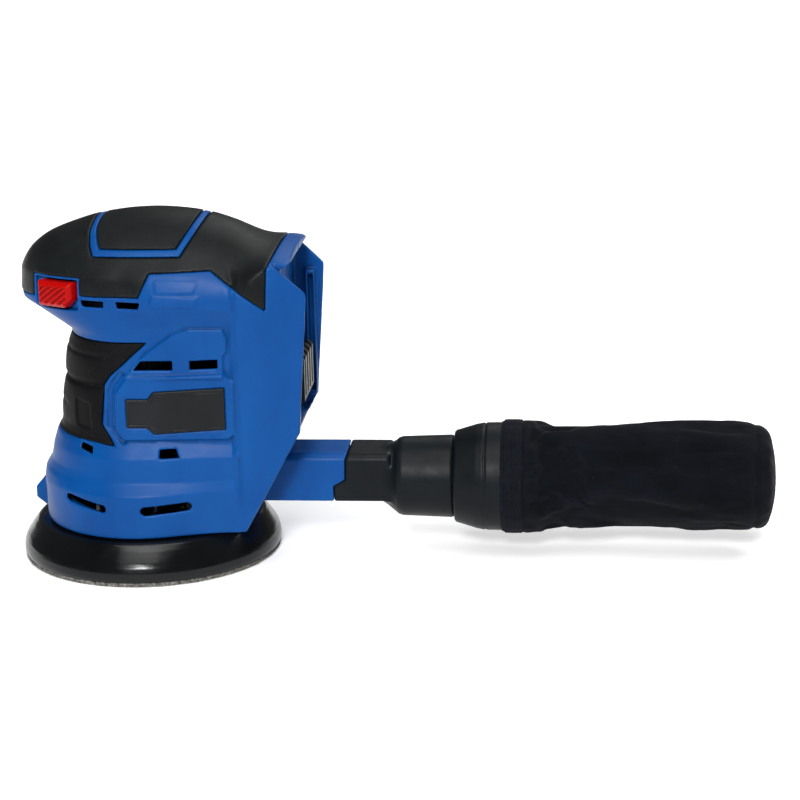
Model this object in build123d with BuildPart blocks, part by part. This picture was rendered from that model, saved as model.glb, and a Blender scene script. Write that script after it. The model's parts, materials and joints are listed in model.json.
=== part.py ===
"""Cordless palm random-orbital sander with a dust duct, adapter and bag, in millimetres.

+Z is up, +X points to the rear (battery bay and dust bag) and -Y is the side with the
slide switch. The origin is the centre of the pad's bottom face.
"""

import os

from build123d import *

os.makedirs("parts", exist_ok=True)

# ------------------------------------------------------------------ driving dimensions
PAD_RADIUS = 60.8                # takes 125 mm discs
PAD_TOP = 18.5
PAD_NECK_RADIUS = 51.5
PAD_RIM_LOW = 2.8
PAD_RIM_HIGH = 7.2
HOOK_THICKNESS = 2.0
DUST_HOLE_RADIUS = 5.0
DUST_HOLE_CIRCLE = 32.5
DUST_HOLES = 8

ORBIT = 1.25                     # pad axis to motor axis
MOTOR_X = -ORBIT                 # the pad stands on the origin, so the motor is forward of it
RUN = 0.04                       # radial clearance of a running fit

CASE_FLOOR = 19.5                # lower edge of the casing
WALL = 3.0
SKIN = 1.8                       # depth of the soft overmould
SPINE_WIDTH = 42.0               # half width of the casing at the spine
BAY_WIDTH = 38.0                 # half width at the rear edge of the battery bay
BAY_BACK = 66.0
BAY_INNER = 34.5                 # half width inside the bay
REAR_EDGE = 80.7

DUCT_WIDTH = 28.0
DUCT_LOW = 25.7
DUCT_HIGH = 48.3
DUCT_WALL = 2.2
DUCT_START = 42.5

BAG_AXIS = 35.0                  # height of the round adapter and bag
ADAPTER_RADIUS = 19.4
ADAPTER_END = 143.5
COLLAR_RADIUS = 24.8
BAG_RADIUS = 26.0
BAG_START = 165.0
BAG_END = 292.0
CLOTH = 1.2

# The casing's plan at each height: half ellipse at the nose, straight sides to the tail.
# height, nose reach, half width at the motor, half width at the tail
PLANS = [
    (CASE_FLOOR, 48.5, 50.0, 39.5),
    (38.7, 49.0, 49.2, 42.0),
    (44.5, 47.2, 45.6, 41.2),
    (47.5, 45.3, 44.8, 40.8),
    (54.0, 44.0, 43.8, 40.8),
    (61.0, 41.6, 41.5, 40.8),
    (66.0, 41.0, 41.0, 41.0),
    (71.0, 38.4, 39.6, 41.0),
    (83.0, 36.8, 39.6, 41.0),
    (100.0, 34.2, 38.6, 41.0),
    (109.5, 32.4, 38.2, 41.0),
    (123.5, 55.5, 39.5, 41.0),
    (127.0, 56.0, 39.6, 41.0),
    (137.0, 54.4, 39.2, 40.5),
    (146.0, 51.0, 37.0, 38.5),
    (152.0, 47.0, 34.0, 36.0),
    (168.0, 40.0, 28.0, 30.0),
]
PLAN_TAIL = 46.0

# The casing's roof at each station along X: station, ridge height, drop at the edge
ROOF = [
    (-66.0, 134.0, 33.0),
    (-51.0, 146.4, 33.0),
    (-43.0, 151.0, 33.0),
    (-35.4, 154.3, 33.0),
    (-20.0, 159.4, 33.0),
    (-5.0, 161.8, 33.0),
    (8.0, 162.5, 33.0),
    (20.0, 161.8, 33.0),
    (32.0, 160.1, 32.0),
    (46.0, 155.4, 26.0),
    (53.0, 151.2, 20.0),
    (60.6, 148.0, 16.0),
    (73.4, 147.0, 15.5),
    (80.7, 139.5, 15.5),
    (96.0, 124.0, 15.5),
]
ROOF_EDGE = 44.0
ROOF_SKIRT = 62.0

# Outlines of the separate skins, seen from the side (X, Z)
TOP_GRIP_OUTLINE = [
    (-70, 124.3), (-45, 125.6), (-20.5, 128.0), (6.6, 128.5), (11.7, 139.4), (38.6, 140.3),
    (62.9, 123.1), (63.8, 141.6), (69, 151), (69, 175), (-70, 175),
]
TRIM_OUTLINE = [(-14.6, 145.9), (-17.5, 150), (-19.5, 155), (-19, 175), (42.9, 175), (24.6, 145.9)]
PALM_OUTLINE = [(-11.8, 148.9), (-14.5, 152), (-16.5, 156), (-16, 175), (38.5, 175), (22.8, 148.9)]
FRONT_GRIP_OUTLINE = [
    (-70, 108), (8.7, 108), (-8.4, 92.8), (-11.4, 88.6), (-13.4, 69.9), (-7.5, 60.5),
    (-16, 62.6), (-24, 65), (-70, 66.2),
]
LABEL_OUTLINE = [
    (-1.6, 69.7), (7.5, 69.7), (11, 67), (43.5, 67), (43.5, 88.4), (11, 86.0), (8.5, 82.7),
    (-1.6, 82.7),
]

# Air slots, cut through both sides: low X, high X, low Z, high Z
SLOTS = [
    (-21.0, -10.0, 124.6, 127.2),
    (-4.0, 6.0, 124.6, 127.2),
    (4.0, 20.0, 95.4, 99.6),
    (28.0, 40.4, 95.4, 99.6),
    (-22.0, -17.0, 60.0, 62.4),
    (13.0, 22.0, 55.6, 58.2),
    (-29.0, -13.0, 31.2, 35.2),
    (4.4, 26.4, 31.0, 35.0),
]

# Clamshell screws: X, Z, and how far the head sits from the split
BOSSES = [
    (-42.0, 141.0, 11.0),
    (41.0, 144.0, 20.0),
    (50.0, 112.0, 26.0),
    (49.0, 62.0, 26.0),
    (27.5, 64.0, 26.0),
    (-33.0, 60.0, 12.0),
]
BOSS_RADIUS = 4.4
SCREW_RADIUS = 1.5
SCREW_HEAD = 3.1

# The slide switch lies on the slanting near side of the nose
SWITCH_CENTRE = (-33.6, -30.6, 128.6)
SWITCH_ALONG = (0.885, -0.467, 0.0)
SWITCH_OUT = (-0.467, -0.885, 0.0)
SWITCH_TRAVEL = 4.0              # forward, to the nose
SWITCH_LOW = (-7.2, -5.2, -3.0)  # the button's corners at rest: along, up, out
SWITCH_HIGH = (12.0, 6.4, 4.2)
POCKET_FLOOR = -3.4
POCKET_LOW = (-12.0, -6.4)       # the pocket's corners: along, up
POCKET_HIGH = (13.0, 7.4)
POCKET_RIM = 1.4

MOTOR_LOW = 58.0
MOTOR_HIGH = 112.0
MOTOR_RADIUS = 21.0
BOARD_HEIGHT = 136.2
SHAFT_RADIUS = 4.0
FAN_RADIUS = 39.6
HUB_RADIUS = 20.0
PLATE_RADIUS = 41.2
LEAD_RADIUS = 1.3
LEAD_SPACING = 4.0
LEAD_LOW = 84.0


# ------------------------------------------------------------------ shared shapes
def side_plate(outline, half_width=70.0):
    """A prism of a side outline, reaching half_width to each side of the split."""
    with BuildPart() as made:
        with BuildSketch(Plane.XZ):
            with BuildLine():
                Polyline(*outline, close=True)
            make_face()
        extrude(amount=half_width, both=True)
    return made.part


def block(low, high):
    """A box between two opposite corners."""
    with BuildPart() as made:
        with Locations(tuple((a + b) / 2 for a, b in zip(low, high))):
            Box(*(b - a for a, b in zip(low, high)))
    return made.part


def upright(x, low, high, radius, bore=0.0):
    """A disc, or a ring where bore is given, about the vertical axis at x."""
    with BuildPart() as made:
        with BuildSketch(Plane.XY.offset(low)):
            with Locations((x, 0)):
                Circle(radius)
                if bore:
                    Circle(bore, mode=Mode.SUBTRACT)
        extrude(amount=high - low)
    return made.part


def turned(profile, x=0.0):
    """A solid turned about the vertical axis at x, from (radius, height) points."""
    with BuildPart() as made:
        with BuildSketch(Plane.XZ):
            with BuildLine():
                Polyline(*[(x + radius, height) for radius, height in profile], close=True)
            make_face()
        revolve(axis=Axis((x, 0, 0), (0, 0, 1)))
    return made.part


def turned_along(profile):
    """A solid turned about the bag's axis, from (station, radius) points."""
    with BuildPart() as made:
        with BuildSketch(Plane.XZ):
            with BuildLine():
                Polyline(*[(x, BAG_AXIS + radius) for x, radius in profile], close=True)
            make_face()
        revolve(axis=Axis((0, 0, BAG_AXIS), (1, 0, 0)))
    return made.part


def casing_roof(inset):
    """Everything under the crowned roof, moved down by inset."""
    sections = []
    for station, ridge, drop in ROOF:
        with BuildSketch(Plane.YZ.offset(station)) as section:
            with BuildLine():
                top = ridge - inset
                ThreePointArc((-ROOF_EDGE, top - drop), (0, top), (ROOF_EDGE, top - drop))
                Polyline(
                    (ROOF_EDGE, top - drop), (ROOF_SKIRT, top - drop - 12), (ROOF_SKIRT, 0),
                    (-ROOF_SKIRT, 0), (-ROOF_SKIRT, top - drop - 12), (-ROOF_EDGE, top - drop),
                )
            make_face()
        sections.append(section.sketch)
    with BuildPart() as roof:
        loft(sections=sections, ruled=True)
    return roof.part


def casing_body(inset, floor_drop):
    """The nose, neck and skirt: ruled walls between the plans, moved in by inset."""
    sections = []
    for height, nose, width, tail in PLANS:
        lowest = height == CASE_FLOOR
        level = height - floor_drop if lowest else height
        with BuildSketch(Plane.XY.offset(level)) as plan:
            with BuildLine():
                EllipticalCenterArc(
                    (0, 0), nose - inset, width - inset, start_angle=90, arc_size=180
                )
                Polyline(
                    (0, inset - width), (PLAN_TAIL, inset - tail),
                    (PLAN_TAIL, tail - inset), (0, width - inset),
                )
            make_face()
        sections.append(plan.sketch)
    with BuildPart() as body:
        loft(sections=sections, ruled=True)
    return body.part


def casing_rear(inset):
    """The spine and the block that the battery bay is cut from, moved in by inset."""
    side = [(24, 23), (52.5, 22.6), (60.4, 37.4), (75.9, 65.7), (REAR_EDGE, 128),
            (REAR_EDGE, 175), (24, 175)]
    plan = [(24, 30), (44, 40), (49.5, SPINE_WIDTH), (61, SPINE_WIDTH), (REAR_EDGE, BAY_WIDTH),
            (REAR_EDGE, -BAY_WIDTH), (61, -SPINE_WIDTH), (49.5, -SPINE_WIDTH), (44, -40),
            (24, -30)]
    end = [(-SPINE_WIDTH, 46), (-37, 21), (37, 21), (SPINE_WIDTH, 46), (SPINE_WIDTH, 180),
           (-SPINE_WIDTH, 180)]
    with BuildPart() as rear:
        with BuildSketch(Plane.XZ):
            with BuildLine():
                Polyline(*side, close=True)
            make_face()
            offset(amount=-inset, kind=Kind.INTERSECTION)
        extrude(amount=60, both=True)
        with BuildSketch(Plane.XY):
            with BuildLine():
                Polyline(*plan, close=True)
            make_face()
            offset(amount=-inset, kind=Kind.INTERSECTION)
        extrude(amount=200, mode=Mode.INTERSECT)
        with BuildSketch(Plane.YZ):
            with BuildLine():
                Polyline(*end, close=True)
            make_face()
            offset(amount=-inset, kind=Kind.INTERSECTION)
        extrude(amount=120, mode=Mode.INTERSECT)
    return rear.part


def casing(inset, floor_drop=0.0):
    """The whole casing's form, moved in by inset all round."""
    with BuildPart() as form:
        add(casing_body(inset, floor_drop))
        add(casing_rear(inset))
        add(casing_roof(inset), mode=Mode.INTERSECT)
    return form.part


outer_form = casing(0)
skin_form = casing(SKIN)
inner_form = casing(WALL, floor_drop=6.0)
boss_form = casing(WALL / 2)

with BuildPart() as skin_layer:
    add(outer_form)
    add(skin_form, mode=Mode.SUBTRACT)

switch_plane = Plane(origin=SWITCH_CENTRE, x_dir=SWITCH_ALONG, z_dir=SWITCH_OUT)


def on_switch(low, high):
    """A box given in the switch's own frame: along, up, out."""
    return switch_plane.from_local_coords(block(low, high))


def around_pocket(grow, low, high):
    """A box round the switch's pocket, larger by grow, between two heights over it."""
    return on_switch(
        (POCKET_LOW[0] - grow, POCKET_LOW[1] - grow, low),
        (POCKET_HIGH[0] + grow, POCKET_HIGH[1] + grow, high),
    )


switch_pocket = around_pocket(0, POCKET_FLOOR, 12)
switch_window = around_pocket(POCKET_RIM, POCKET_FLOOR - 3, 12)
switch_liner = around_pocket(POCKET_RIM, POCKET_FLOOR - 1.6, 0)
switch_slot = on_switch((-4.4 - SWITCH_TRAVEL, -3.4, -8.0), (4.4, 3.4, 2.0))

bay_cavity = side_plate(
    [(BAY_BACK, 62), (BAY_BACK, 135), (69.6, 140.6), (73.4, 142.4), (73.4, 175), (98, 175),
     (98, 50), (78, 50)],
    BAY_INNER,
)
bay_wall = side_plate(
    [(BAY_BACK - WALL, 61), (BAY_BACK - WALL, 136), (68, 144), (70, 175), (98, 175), (98, 46),
     (78, 46)],
    BAY_INNER + WALL,
)
duct_hole = side_plate(
    [(DUCT_START - 1.5, DUCT_LOW), (96, DUCT_LOW), (96, DUCT_HIGH), (DUCT_START - 1.5, DUCT_HIGH)],
    DUCT_WIDTH / 2,
)

# ------------------------------------------------------------------ outer skins
with BuildPart() as palm_pad:
    add(skin_layer.part)
    add(side_plate(PALM_OUTLINE), mode=Mode.INTERSECT)
palm_pad.part.label = "palm_pad"
export_step(palm_pad.part, "parts/palm_pad.step")

with BuildPart() as top_trim:
    add(skin_layer.part)
    add(side_plate(TRIM_OUTLINE), mode=Mode.INTERSECT)
    add(side_plate(PALM_OUTLINE), mode=Mode.SUBTRACT)
top_trim.part.label = "top_trim"
export_step(top_trim.part, "parts/top_trim.step")

with BuildPart() as top_grip:
    add(skin_layer.part)
    add(side_plate(TOP_GRIP_OUTLINE), mode=Mode.INTERSECT)
    add(side_plate(TRIM_OUTLINE), mode=Mode.SUBTRACT)
    add(switch_window, mode=Mode.SUBTRACT)
top_grip.part.label = "top_grip"
export_step(top_grip.part, "parts/top_grip.step")

with BuildPart() as front_grip:
    add(skin_layer.part)
    add(side_plate(FRONT_GRIP_OUTLINE), mode=Mode.INTERSECT)
front_grip.part.label = "front_grip"
export_step(front_grip.part, "parts/front_grip.step")

PLATE_PROUD = 0.6
PLATE_SUNK = 0.8
plate_top = casing(-PLATE_PROUD)
plate_bed = casing(PLATE_SUNK)
with BuildPart() as label_layer:
    add(plate_top)
    add(plate_bed, mode=Mode.SUBTRACT)
    add(side_plate(LABEL_OUTLINE), mode=Mode.INTERSECT)

with BuildPart() as label_plate:
    add(label_layer.part)
    split(bisect_by=Plane.XZ, keep=Keep.TOP)
label_plate.part.label = "label_plate"
export_step(label_plate.part, "parts/label_plate.step")

with BuildPart() as rating_plate:
    add(label_layer.part)
    split(bisect_by=Plane.XZ, keep=Keep.BOTTOM)
rating_plate.part.label = "rating_plate"
export_step(rating_plate.part, "parts/rating_plate.step")

# ------------------------------------------------------------------ clamshell halves
with BuildPart() as bosses:
    with BuildSketch(Plane.XZ):
        with Locations([(x, z) for x, z, _ in BOSSES]):
            Circle(BOSS_RADIUS)
    extrude(amount=60, both=True)
    add(boss_form, mode=Mode.INTERSECT)

MOTOR_RIBS = [(68.0, 70.5), (103.0, 105.5)]
with BuildPart() as ribs:
    for low, high in MOTOR_RIBS:
        add(block((-45, -45, low), (34, 45, high)))
    add(block((-6, -45, BOARD_HEIGHT - 2.5), (36, 45, BOARD_HEIGHT)))
    add(block((-4, -19, BOARD_HEIGHT - 3), (40, 19, BOARD_HEIGHT + 1)), mode=Mode.SUBTRACT)
    add(upright(MOTOR_X, 50, 125, MOTOR_RADIUS), mode=Mode.SUBTRACT)
    add(boss_form, mode=Mode.INTERSECT)

with BuildPart() as fan_wall:
    add(upright(0, 27, 50, 45.4, PLATE_RADIUS + 0.2))
    add(upright(0, 49.6, 52.6, 45.4, 36.0))
    add(boss_form, mode=Mode.INTERSECT)

with BuildPart() as front_lug:
    with BuildSketch(Plane.XZ):
        with BuildLine():
            Polyline((-44, 21), (-51, 21), (-55, 25), (-55, 31), (-51, 35), (-44, 36.5), close=True)
        make_face()
    extrude(amount=4.5, both=True)
    add(inner_form, mode=Mode.SUBTRACT)

with BuildPart() as pocket_liner:
    add(switch_liner)
    add(outer_form, mode=Mode.INTERSECT)

with BuildPart() as rails:
    for side in (-1, 1):
        near, far = sorted((side * (BAY_INNER - 3.2), side * (BAY_INNER + 0.5)))
        add(block((BAY_BACK + 6.5, near, 66), (BAY_BACK + 10.0, far, 126)))

with BuildPart() as bay_lining:
    add(bay_wall)
    add(outer_form, mode=Mode.INTERSECT)

with BuildPart() as lead_holes:
    with BuildSketch(Plane.YZ.offset(BAY_BACK - WALL - 2)):
        with Locations([(side * LEAD_SPACING, LEAD_LOW) for side in (-1, 1)]):
            Circle(LEAD_RADIUS + 0.1)
    extrude(amount=WALL + 4)

with BuildPart() as casing_shell:
    add(outer_form)
    add(inner_form, mode=Mode.SUBTRACT)
    add(bay_lining.part)
    add(bosses.part)
    add(ribs.part)
    add(fan_wall.part)
    add(front_lug.part)
    add(pocket_liner.part)
    add(bay_cavity, mode=Mode.SUBTRACT)
    add(rails.part)
    add(upright(0, 15, 25.6, 44.4), mode=Mode.SUBTRACT)
    add(duct_hole, mode=Mode.SUBTRACT)
    for skin in (top_grip, top_trim, palm_pad, front_grip):
        add(skin.part, mode=Mode.SUBTRACT)
    add(label_layer.part, mode=Mode.SUBTRACT)
    add(switch_pocket, mode=Mode.SUBTRACT)
    add(switch_slot, mode=Mode.SUBTRACT)
    add(lead_holes.part, mode=Mode.SUBTRACT)
    for x_low, x_high, z_low, z_high in SLOTS:
        for side in (-1, 1):
            near, far = sorted((side * 22.0, side * 62.0))
            add(block((x_low, near, z_low), (x_high, far, z_high)), mode=Mode.SUBTRACT)

with BuildPart() as screw_holes:
    for x, z, head in BOSSES:
        with BuildSketch(Plane.XZ.offset(-head)):
            with Locations((x, z)):
                Circle(SCREW_HEAD + 0.4)
        extrude(amount=-60)
        with BuildSketch(Plane.XZ.offset(10)):
            with Locations((x, z)):
                Circle(SCREW_RADIUS)
        extrude(amount=-10 - head)

with BuildPart() as housing_left:
    add(casing_shell.part)
    add(screw_holes.part, mode=Mode.SUBTRACT)
    split(bisect_by=Plane.XZ, keep=Keep.TOP)
housing_left.part.label = "housing_left"
export_step(housing_left.part, "parts/housing_left.step")

with BuildPart() as housing_right:
    add(casing_shell.part)
    add(screw_holes.part, mode=Mode.SUBTRACT)
    split(bisect_by=Plane.XZ, keep=Keep.BOTTOM)
housing_right.part.label = "housing_right"
export_step(housing_right.part, "parts/housing_right.step")

with BuildPart() as housing_screws:
    for x, z, head in BOSSES:
        with BuildSketch(Plane.XZ.offset(-head - 2.4)):
            with Locations((x, z)):
                Circle(SCREW_HEAD)
        extrude(amount=2.4)
        with BuildSketch(Plane.XZ.offset(-head)):
            with Locations((x, z)):
                Circle(SCREW_RADIUS)
        extrude(amount=head + 9)
        with BuildSketch(Plane.XZ.offset(-head - 2.4)):
            with Locations((x, z)):
                Rectangle(2.6, 0.7)
                Rectangle(0.7, 2.6)
        extrude(amount=1.2, mode=Mode.SUBTRACT)
housing_screws.part.label = "housing_screws"
export_step(housing_screws.part, "parts/housing_screws.step")

# ------------------------------------------------------------------ dust outlet
duct_end = [(DUCT_START, DUCT_LOW), (84.9, DUCT_LOW), (85.6, 38), (89.5, 42), (92, DUCT_HIGH),
            (DUCT_START, DUCT_HIGH)]
SEAM_GAP = 0.3
adapter_start = [(x + SEAM_GAP, z) for x, z in duct_end[1:5]] + [(108, DUCT_HIGH), (108, DUCT_LOW)]
DUCT_CENTRE = (DUCT_LOW + DUCT_HIGH) / 2
DUCT_HEIGHT = DUCT_HIGH - DUCT_LOW


def channel(start, end, width, height, top_chamfer=0.0):
    """A rectangular bar along the duct, with its two top edges chamfered."""
    with BuildPart() as made:
        with BuildSketch(Plane.YZ.offset(start)):
            with Locations((0, DUCT_CENTRE)):
                Rectangle(width, height)
        extrude(amount=end - start)
        if top_chamfer:
            chamfer(made.edges().filter_by(Axis.X).group_by(Axis.Z)[-1], top_chamfer)
    return made.part


SPIGOT_WIDTH = DUCT_WIDTH - 2 * DUCT_WALL - 0.5
SPIGOT_HEIGHT = DUCT_HEIGHT - 2 * DUCT_WALL - 0.5
SPIGOT_WALL = 1.6

with BuildPart() as dust_duct:
    add(channel(DUCT_START, 96, DUCT_WIDTH, DUCT_HEIGHT, 2.4))
    add(side_plate(duct_end), mode=Mode.INTERSECT)
    add(
        channel(DUCT_START - 2, 98, DUCT_WIDTH - 2 * DUCT_WALL, DUCT_HEIGHT - 2 * DUCT_WALL),
        mode=Mode.SUBTRACT,
    )
dust_duct.part.label = "dust_duct"
export_step(dust_duct.part, "parts/dust_duct.step")

with BuildPart() as dust_adapter:
    add(channel(84, 108, DUCT_WIDTH, DUCT_HEIGHT, 2.4))
    add(side_plate(adapter_start), mode=Mode.INTERSECT)
    add(turned_along([(103, 0), (103, 12.4), (117.5, ADAPTER_RADIUS), (ADAPTER_END, 19.6),
                      (ADAPTER_END, 0)]))
    add(channel(72, 95, SPIGOT_WIDTH, SPIGOT_HEIGHT))
    add(
        channel(70, 113, SPIGOT_WIDTH - 2 * SPIGOT_WALL, SPIGOT_HEIGHT - 2 * SPIGOT_WALL),
        mode=Mode.SUBTRACT,
    )
    add(
        turned_along([(109, 0), (109, 11), (119, 17.4), (ADAPTER_END + 2, 17.4),
                      (ADAPTER_END + 2, 0)]),
        mode=Mode.SUBTRACT,
    )
dust_adapter.part.label = "dust_adapter"
export_step(dust_adapter.part, "parts/dust_adapter.step")

# ------------------------------------------------------------------ dust bag
COLLAR_START = ADAPTER_END + SEAM_GAP
with BuildPart() as bag_collar:
    add(turned_along([
        (129, 15.3), (129, 17.34), (COLLAR_START, 17.34), (COLLAR_START, 21.2), (146, 21.8),
        (157, COLLAR_RADIUS), (176, COLLAR_RADIUS), (176, 22.7), (152, 22.7), (146, 15.3),
    ]))
bag_collar.part.label = "bag_collar"
export_step(bag_collar.part, "parts/bag_collar.step")

bag_profile = [
    (BAG_START, BAG_RADIUS), (205, BAG_RADIUS), (247, 27.6), (265, 27.2), (277, 25.6),
    (283, 22.8), (288.5, 15.5), (BAG_END, 5.0),
]
with BuildPart() as dust_bag:
    add(turned_along(bag_profile + [(BAG_END, 0), (BAG_START, 0)]))
    add(
        turned_along([(BAG_START - 1, BAG_RADIUS - CLOTH)]
                     + [(x - CLOTH, radius - CLOTH) for x, radius in bag_profile[1:]]
                     + [(BAG_END - CLOTH, 0), (BAG_START - 1, 0)]),
        mode=Mode.SUBTRACT,
    )
dust_bag.part.label = "dust_bag"
export_step(dust_bag.part, "parts/dust_bag.step")

with BuildPart() as bag_cuff:
    add(turned_along([(167, BAG_RADIUS), (167.6, BAG_RADIUS + 0.9), (174.4, BAG_RADIUS + 0.9),
                      (175, BAG_RADIUS)]))
bag_cuff.part.label = "bag_cuff"
export_step(bag_cuff.part, "parts/bag_cuff.step")

FRAME_REACH = 21.3
WIRE_RADIUS = 1.1
with BuildPart() as bag_frame:
    with BuildLine(Plane.XZ) as wire_path:
        FilletPolyline(
            (168, BAG_AXIS + FRAME_REACH), (274, BAG_AXIS + FRAME_REACH),
            (274, BAG_AXIS - FRAME_REACH), (168, BAG_AXIS - FRAME_REACH), radius=12,
        )
    with BuildSketch(Plane(origin=(168, 0, BAG_AXIS + FRAME_REACH), z_dir=(1, 0, 0))):
        Circle(WIRE_RADIUS)
    sweep(path=wire_path.line)
bag_frame.part.label = "bag_frame"
export_step(bag_frame.part, "parts/bag_frame.step")

# ------------------------------------------------------------------ pad
with BuildPart() as backing_pad:
    add(turned([
        (2.6, 12), (15, 12), (15, PAD_TOP), (PAD_NECK_RADIUS, PAD_TOP),
        (PAD_NECK_RADIUS + 1.7, PAD_TOP - 0.8), (PAD_RADIUS - 0.7, PAD_RIM_HIGH + 1.4),
        (PAD_RADIUS, PAD_RIM_HIGH), (PAD_RADIUS, PAD_RIM_LOW), (PAD_RADIUS - 0.6, HOOK_THICKNESS),
        (9, HOOK_THICKNESS), (9, 10), (2.6, 10),
    ]))
    with BuildSketch(Plane.XY.offset(-1)):
        with PolarLocations(DUST_HOLE_CIRCLE, DUST_HOLES):
            Circle(DUST_HOLE_RADIUS)
    extrude(amount=PAD_TOP + 4, mode=Mode.SUBTRACT)
backing_pad.part.label = "backing_pad"
export_step(backing_pad.part, "parts/backing_pad.step")

with BuildPart() as hook_face:
    with BuildSketch(Plane.XY):
        Circle(PAD_RADIUS - 0.7)
        Circle(9, mode=Mode.SUBTRACT)
        with PolarLocations(DUST_HOLE_CIRCLE, DUST_HOLES):
            Circle(DUST_HOLE_RADIUS, mode=Mode.SUBTRACT)
    extrude(amount=HOOK_THICKNESS)
hook_face.part.label = "hook_face"
export_step(hook_face.part, "parts/hook_face.step")

with BuildPart() as pad_spindle:
    add(turned([
        (0, 29), (0, 34.2), (5.4, 34.2), (6, 33.6), (6, 23.2), (8.4, 23.2), (8.4, 17.8),
        (15, 17.8), (15, 12), (2.5, 12), (2.5, 29),
    ]))
pad_spindle.part.label = "pad_spindle"
export_step(pad_spindle.part, "parts/pad_spindle.step")

with BuildPart() as pad_washer:
    add(upright(0, 8.6, 10, 8, 2.6))
pad_washer.part.label = "pad_washer"
export_step(pad_washer.part, "parts/pad_washer.step")

with BuildPart() as pad_screw:
    add(upright(0, 4.6, 8.6, 5))
    add(upright(0, 8.6, 28, 2.5))
    with BuildSketch(Plane.XY.offset(4.6)):
        RegularPolygon(2.4, 6)
    extrude(amount=2.6, mode=Mode.SUBTRACT)
pad_screw.part.label = "pad_screw"
export_step(pad_screw.part, "parts/pad_screw.step")

# ------------------------------------------------------------------ rotor
HUB_LOW, HUB_HIGH = 22.6, 36.0
HUB_NECK_HIGH = 45.5
PAD_BEARING_LOW, PAD_BEARING_HIGH = 23.5, 33.5
FAN_LOW, FAN_DISC, FAN_HIGH = 29.0, 41.0, 42.5
BLADES = 9

with BuildPart() as eccentric_hub:
    add(upright(MOTOR_X, HUB_LOW, HUB_HIGH, HUB_RADIUS))
    add(upright(MOTOR_X, HUB_HIGH, HUB_NECK_HIGH, 8))
    add(upright(0, HUB_LOW - 1, PAD_BEARING_HIGH, 15), mode=Mode.SUBTRACT)
    add(upright(0, PAD_BEARING_HIGH, 34.8, 8), mode=Mode.SUBTRACT)
    add(upright(MOTOR_X, 36.5, HUB_NECK_HIGH + 1, SHAFT_RADIUS), mode=Mode.SUBTRACT)
eccentric_hub.part.label = "eccentric_hub"
export_step(eccentric_hub.part, "parts/eccentric_hub.step")

with BuildPart() as pad_bearing:
    add(upright(0, PAD_BEARING_LOW, PAD_BEARING_HIGH, 15, 6 + RUN))
    for low in (PAD_BEARING_LOW - 1, PAD_BEARING_HIGH - 0.5):
        add(upright(0, low, low + 1.5, 12.6, 8.2), mode=Mode.SUBTRACT)
pad_bearing.part.label = "pad_bearing"
export_step(pad_bearing.part, "parts/pad_bearing.step")

with BuildPart() as dust_fan:
    add(upright(MOTOR_X, FAN_DISC, FAN_HIGH, FAN_RADIUS, 8))
    add(upright(MOTOR_X, FAN_LOW, FAN_DISC, HUB_RADIUS + 2, HUB_RADIUS))
    with BuildSketch(Plane.XY.offset(FAN_LOW)):
        with Locations((MOTOR_X, 0)):
            with PolarLocations(31.2, BLADES):
                Rectangle(18.6, 1.6, rotation=24)
    extrude(amount=FAN_DISC - FAN_LOW)
dust_fan.part.label = "dust_fan"
export_step(dust_fan.part, "parts/dust_fan.step")

with BuildPart() as counterweight:
    add(upright(MOTOR_X, FAN_HIGH, HUB_NECK_HIGH, 26, 8.4))
    add(block((MOTOR_X - 4, -40, 40), (40, 40, 50)), mode=Mode.SUBTRACT)
counterweight.part.label = "counterweight"
export_step(counterweight.part, "parts/counterweight.step")

with BuildPart() as motor_shaft:
    add(upright(MOTOR_X, 36.5, 121, SHAFT_RADIUS))
    chamfer(motor_shaft.edges().group_by(Axis.Z)[-1], 0.6)
motor_shaft.part.label = "motor_shaft"
export_step(motor_shaft.part, "parts/motor_shaft.step")

CORE_LOW, CORE_HIGH = 69.0, 94.0
with BuildPart() as armature_core:
    add(upright(MOTOR_X, CORE_LOW, CORE_HIGH, 16.6, SHAFT_RADIUS))
    with BuildSketch(Plane.XY.offset(CORE_LOW)):
        with Locations((MOTOR_X, 0)):
            with PolarLocations(13.6, 10):
                Rectangle(7, 2.2)
    extrude(amount=CORE_HIGH - CORE_LOW, mode=Mode.SUBTRACT)
armature_core.part.label = "armature_core"
export_step(armature_core.part, "parts/armature_core.step")

with BuildPart() as armature_windings:
    for low, high in ((62.5, CORE_LOW), (CORE_HIGH, 100.5)):
        add(upright(MOTOR_X, low, high, 15, 6.5))
    chamfer(armature_windings.edges().filter_by(GeomType.CIRCLE).group_by(Axis.Z)[0], 1.6)
    chamfer(armature_windings.edges().filter_by(GeomType.CIRCLE).group_by(Axis.Z)[-1], 1.6)
armature_windings.part.label = "armature_windings"
export_step(armature_windings.part, "parts/armature_windings.step")

with BuildPart() as commutator:
    add(upright(MOTOR_X, 101.5, 110, 7.4, SHAFT_RADIUS))
    with BuildSketch(Plane.XY.offset(102.5)):
        with Locations((MOTOR_X, 0)):
            with PolarLocations(7.2, 10):
                Rectangle(1.6, 0.5)
    extrude(amount=9, mode=Mode.SUBTRACT)
commutator.part.label = "commutator"
export_step(commutator.part, "parts/commutator.step")

# ------------------------------------------------------------------ motor and its bearings
PLATE_LOW, PLATE_HIGH = 46.6, 49.6
LOWER_BEARING_LOW, LOWER_BEARING_HIGH = 50.4, 57.4
UPPER_BEARING_LOW, UPPER_BEARING_HIGH = 113.5, 119.5


def ball_bearing(low, high, radius):
    """A shielded ball bearing about the motor axis."""
    with BuildPart() as made:
        add(upright(MOTOR_X, low, high, radius, SHAFT_RADIUS + RUN))
        for face in (low - 1, high - 0.4):
            add(upright(MOTOR_X, face, face + 1.4, radius - 1.6, SHAFT_RADIUS + 1.7),
                mode=Mode.SUBTRACT)
    return made.part


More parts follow.
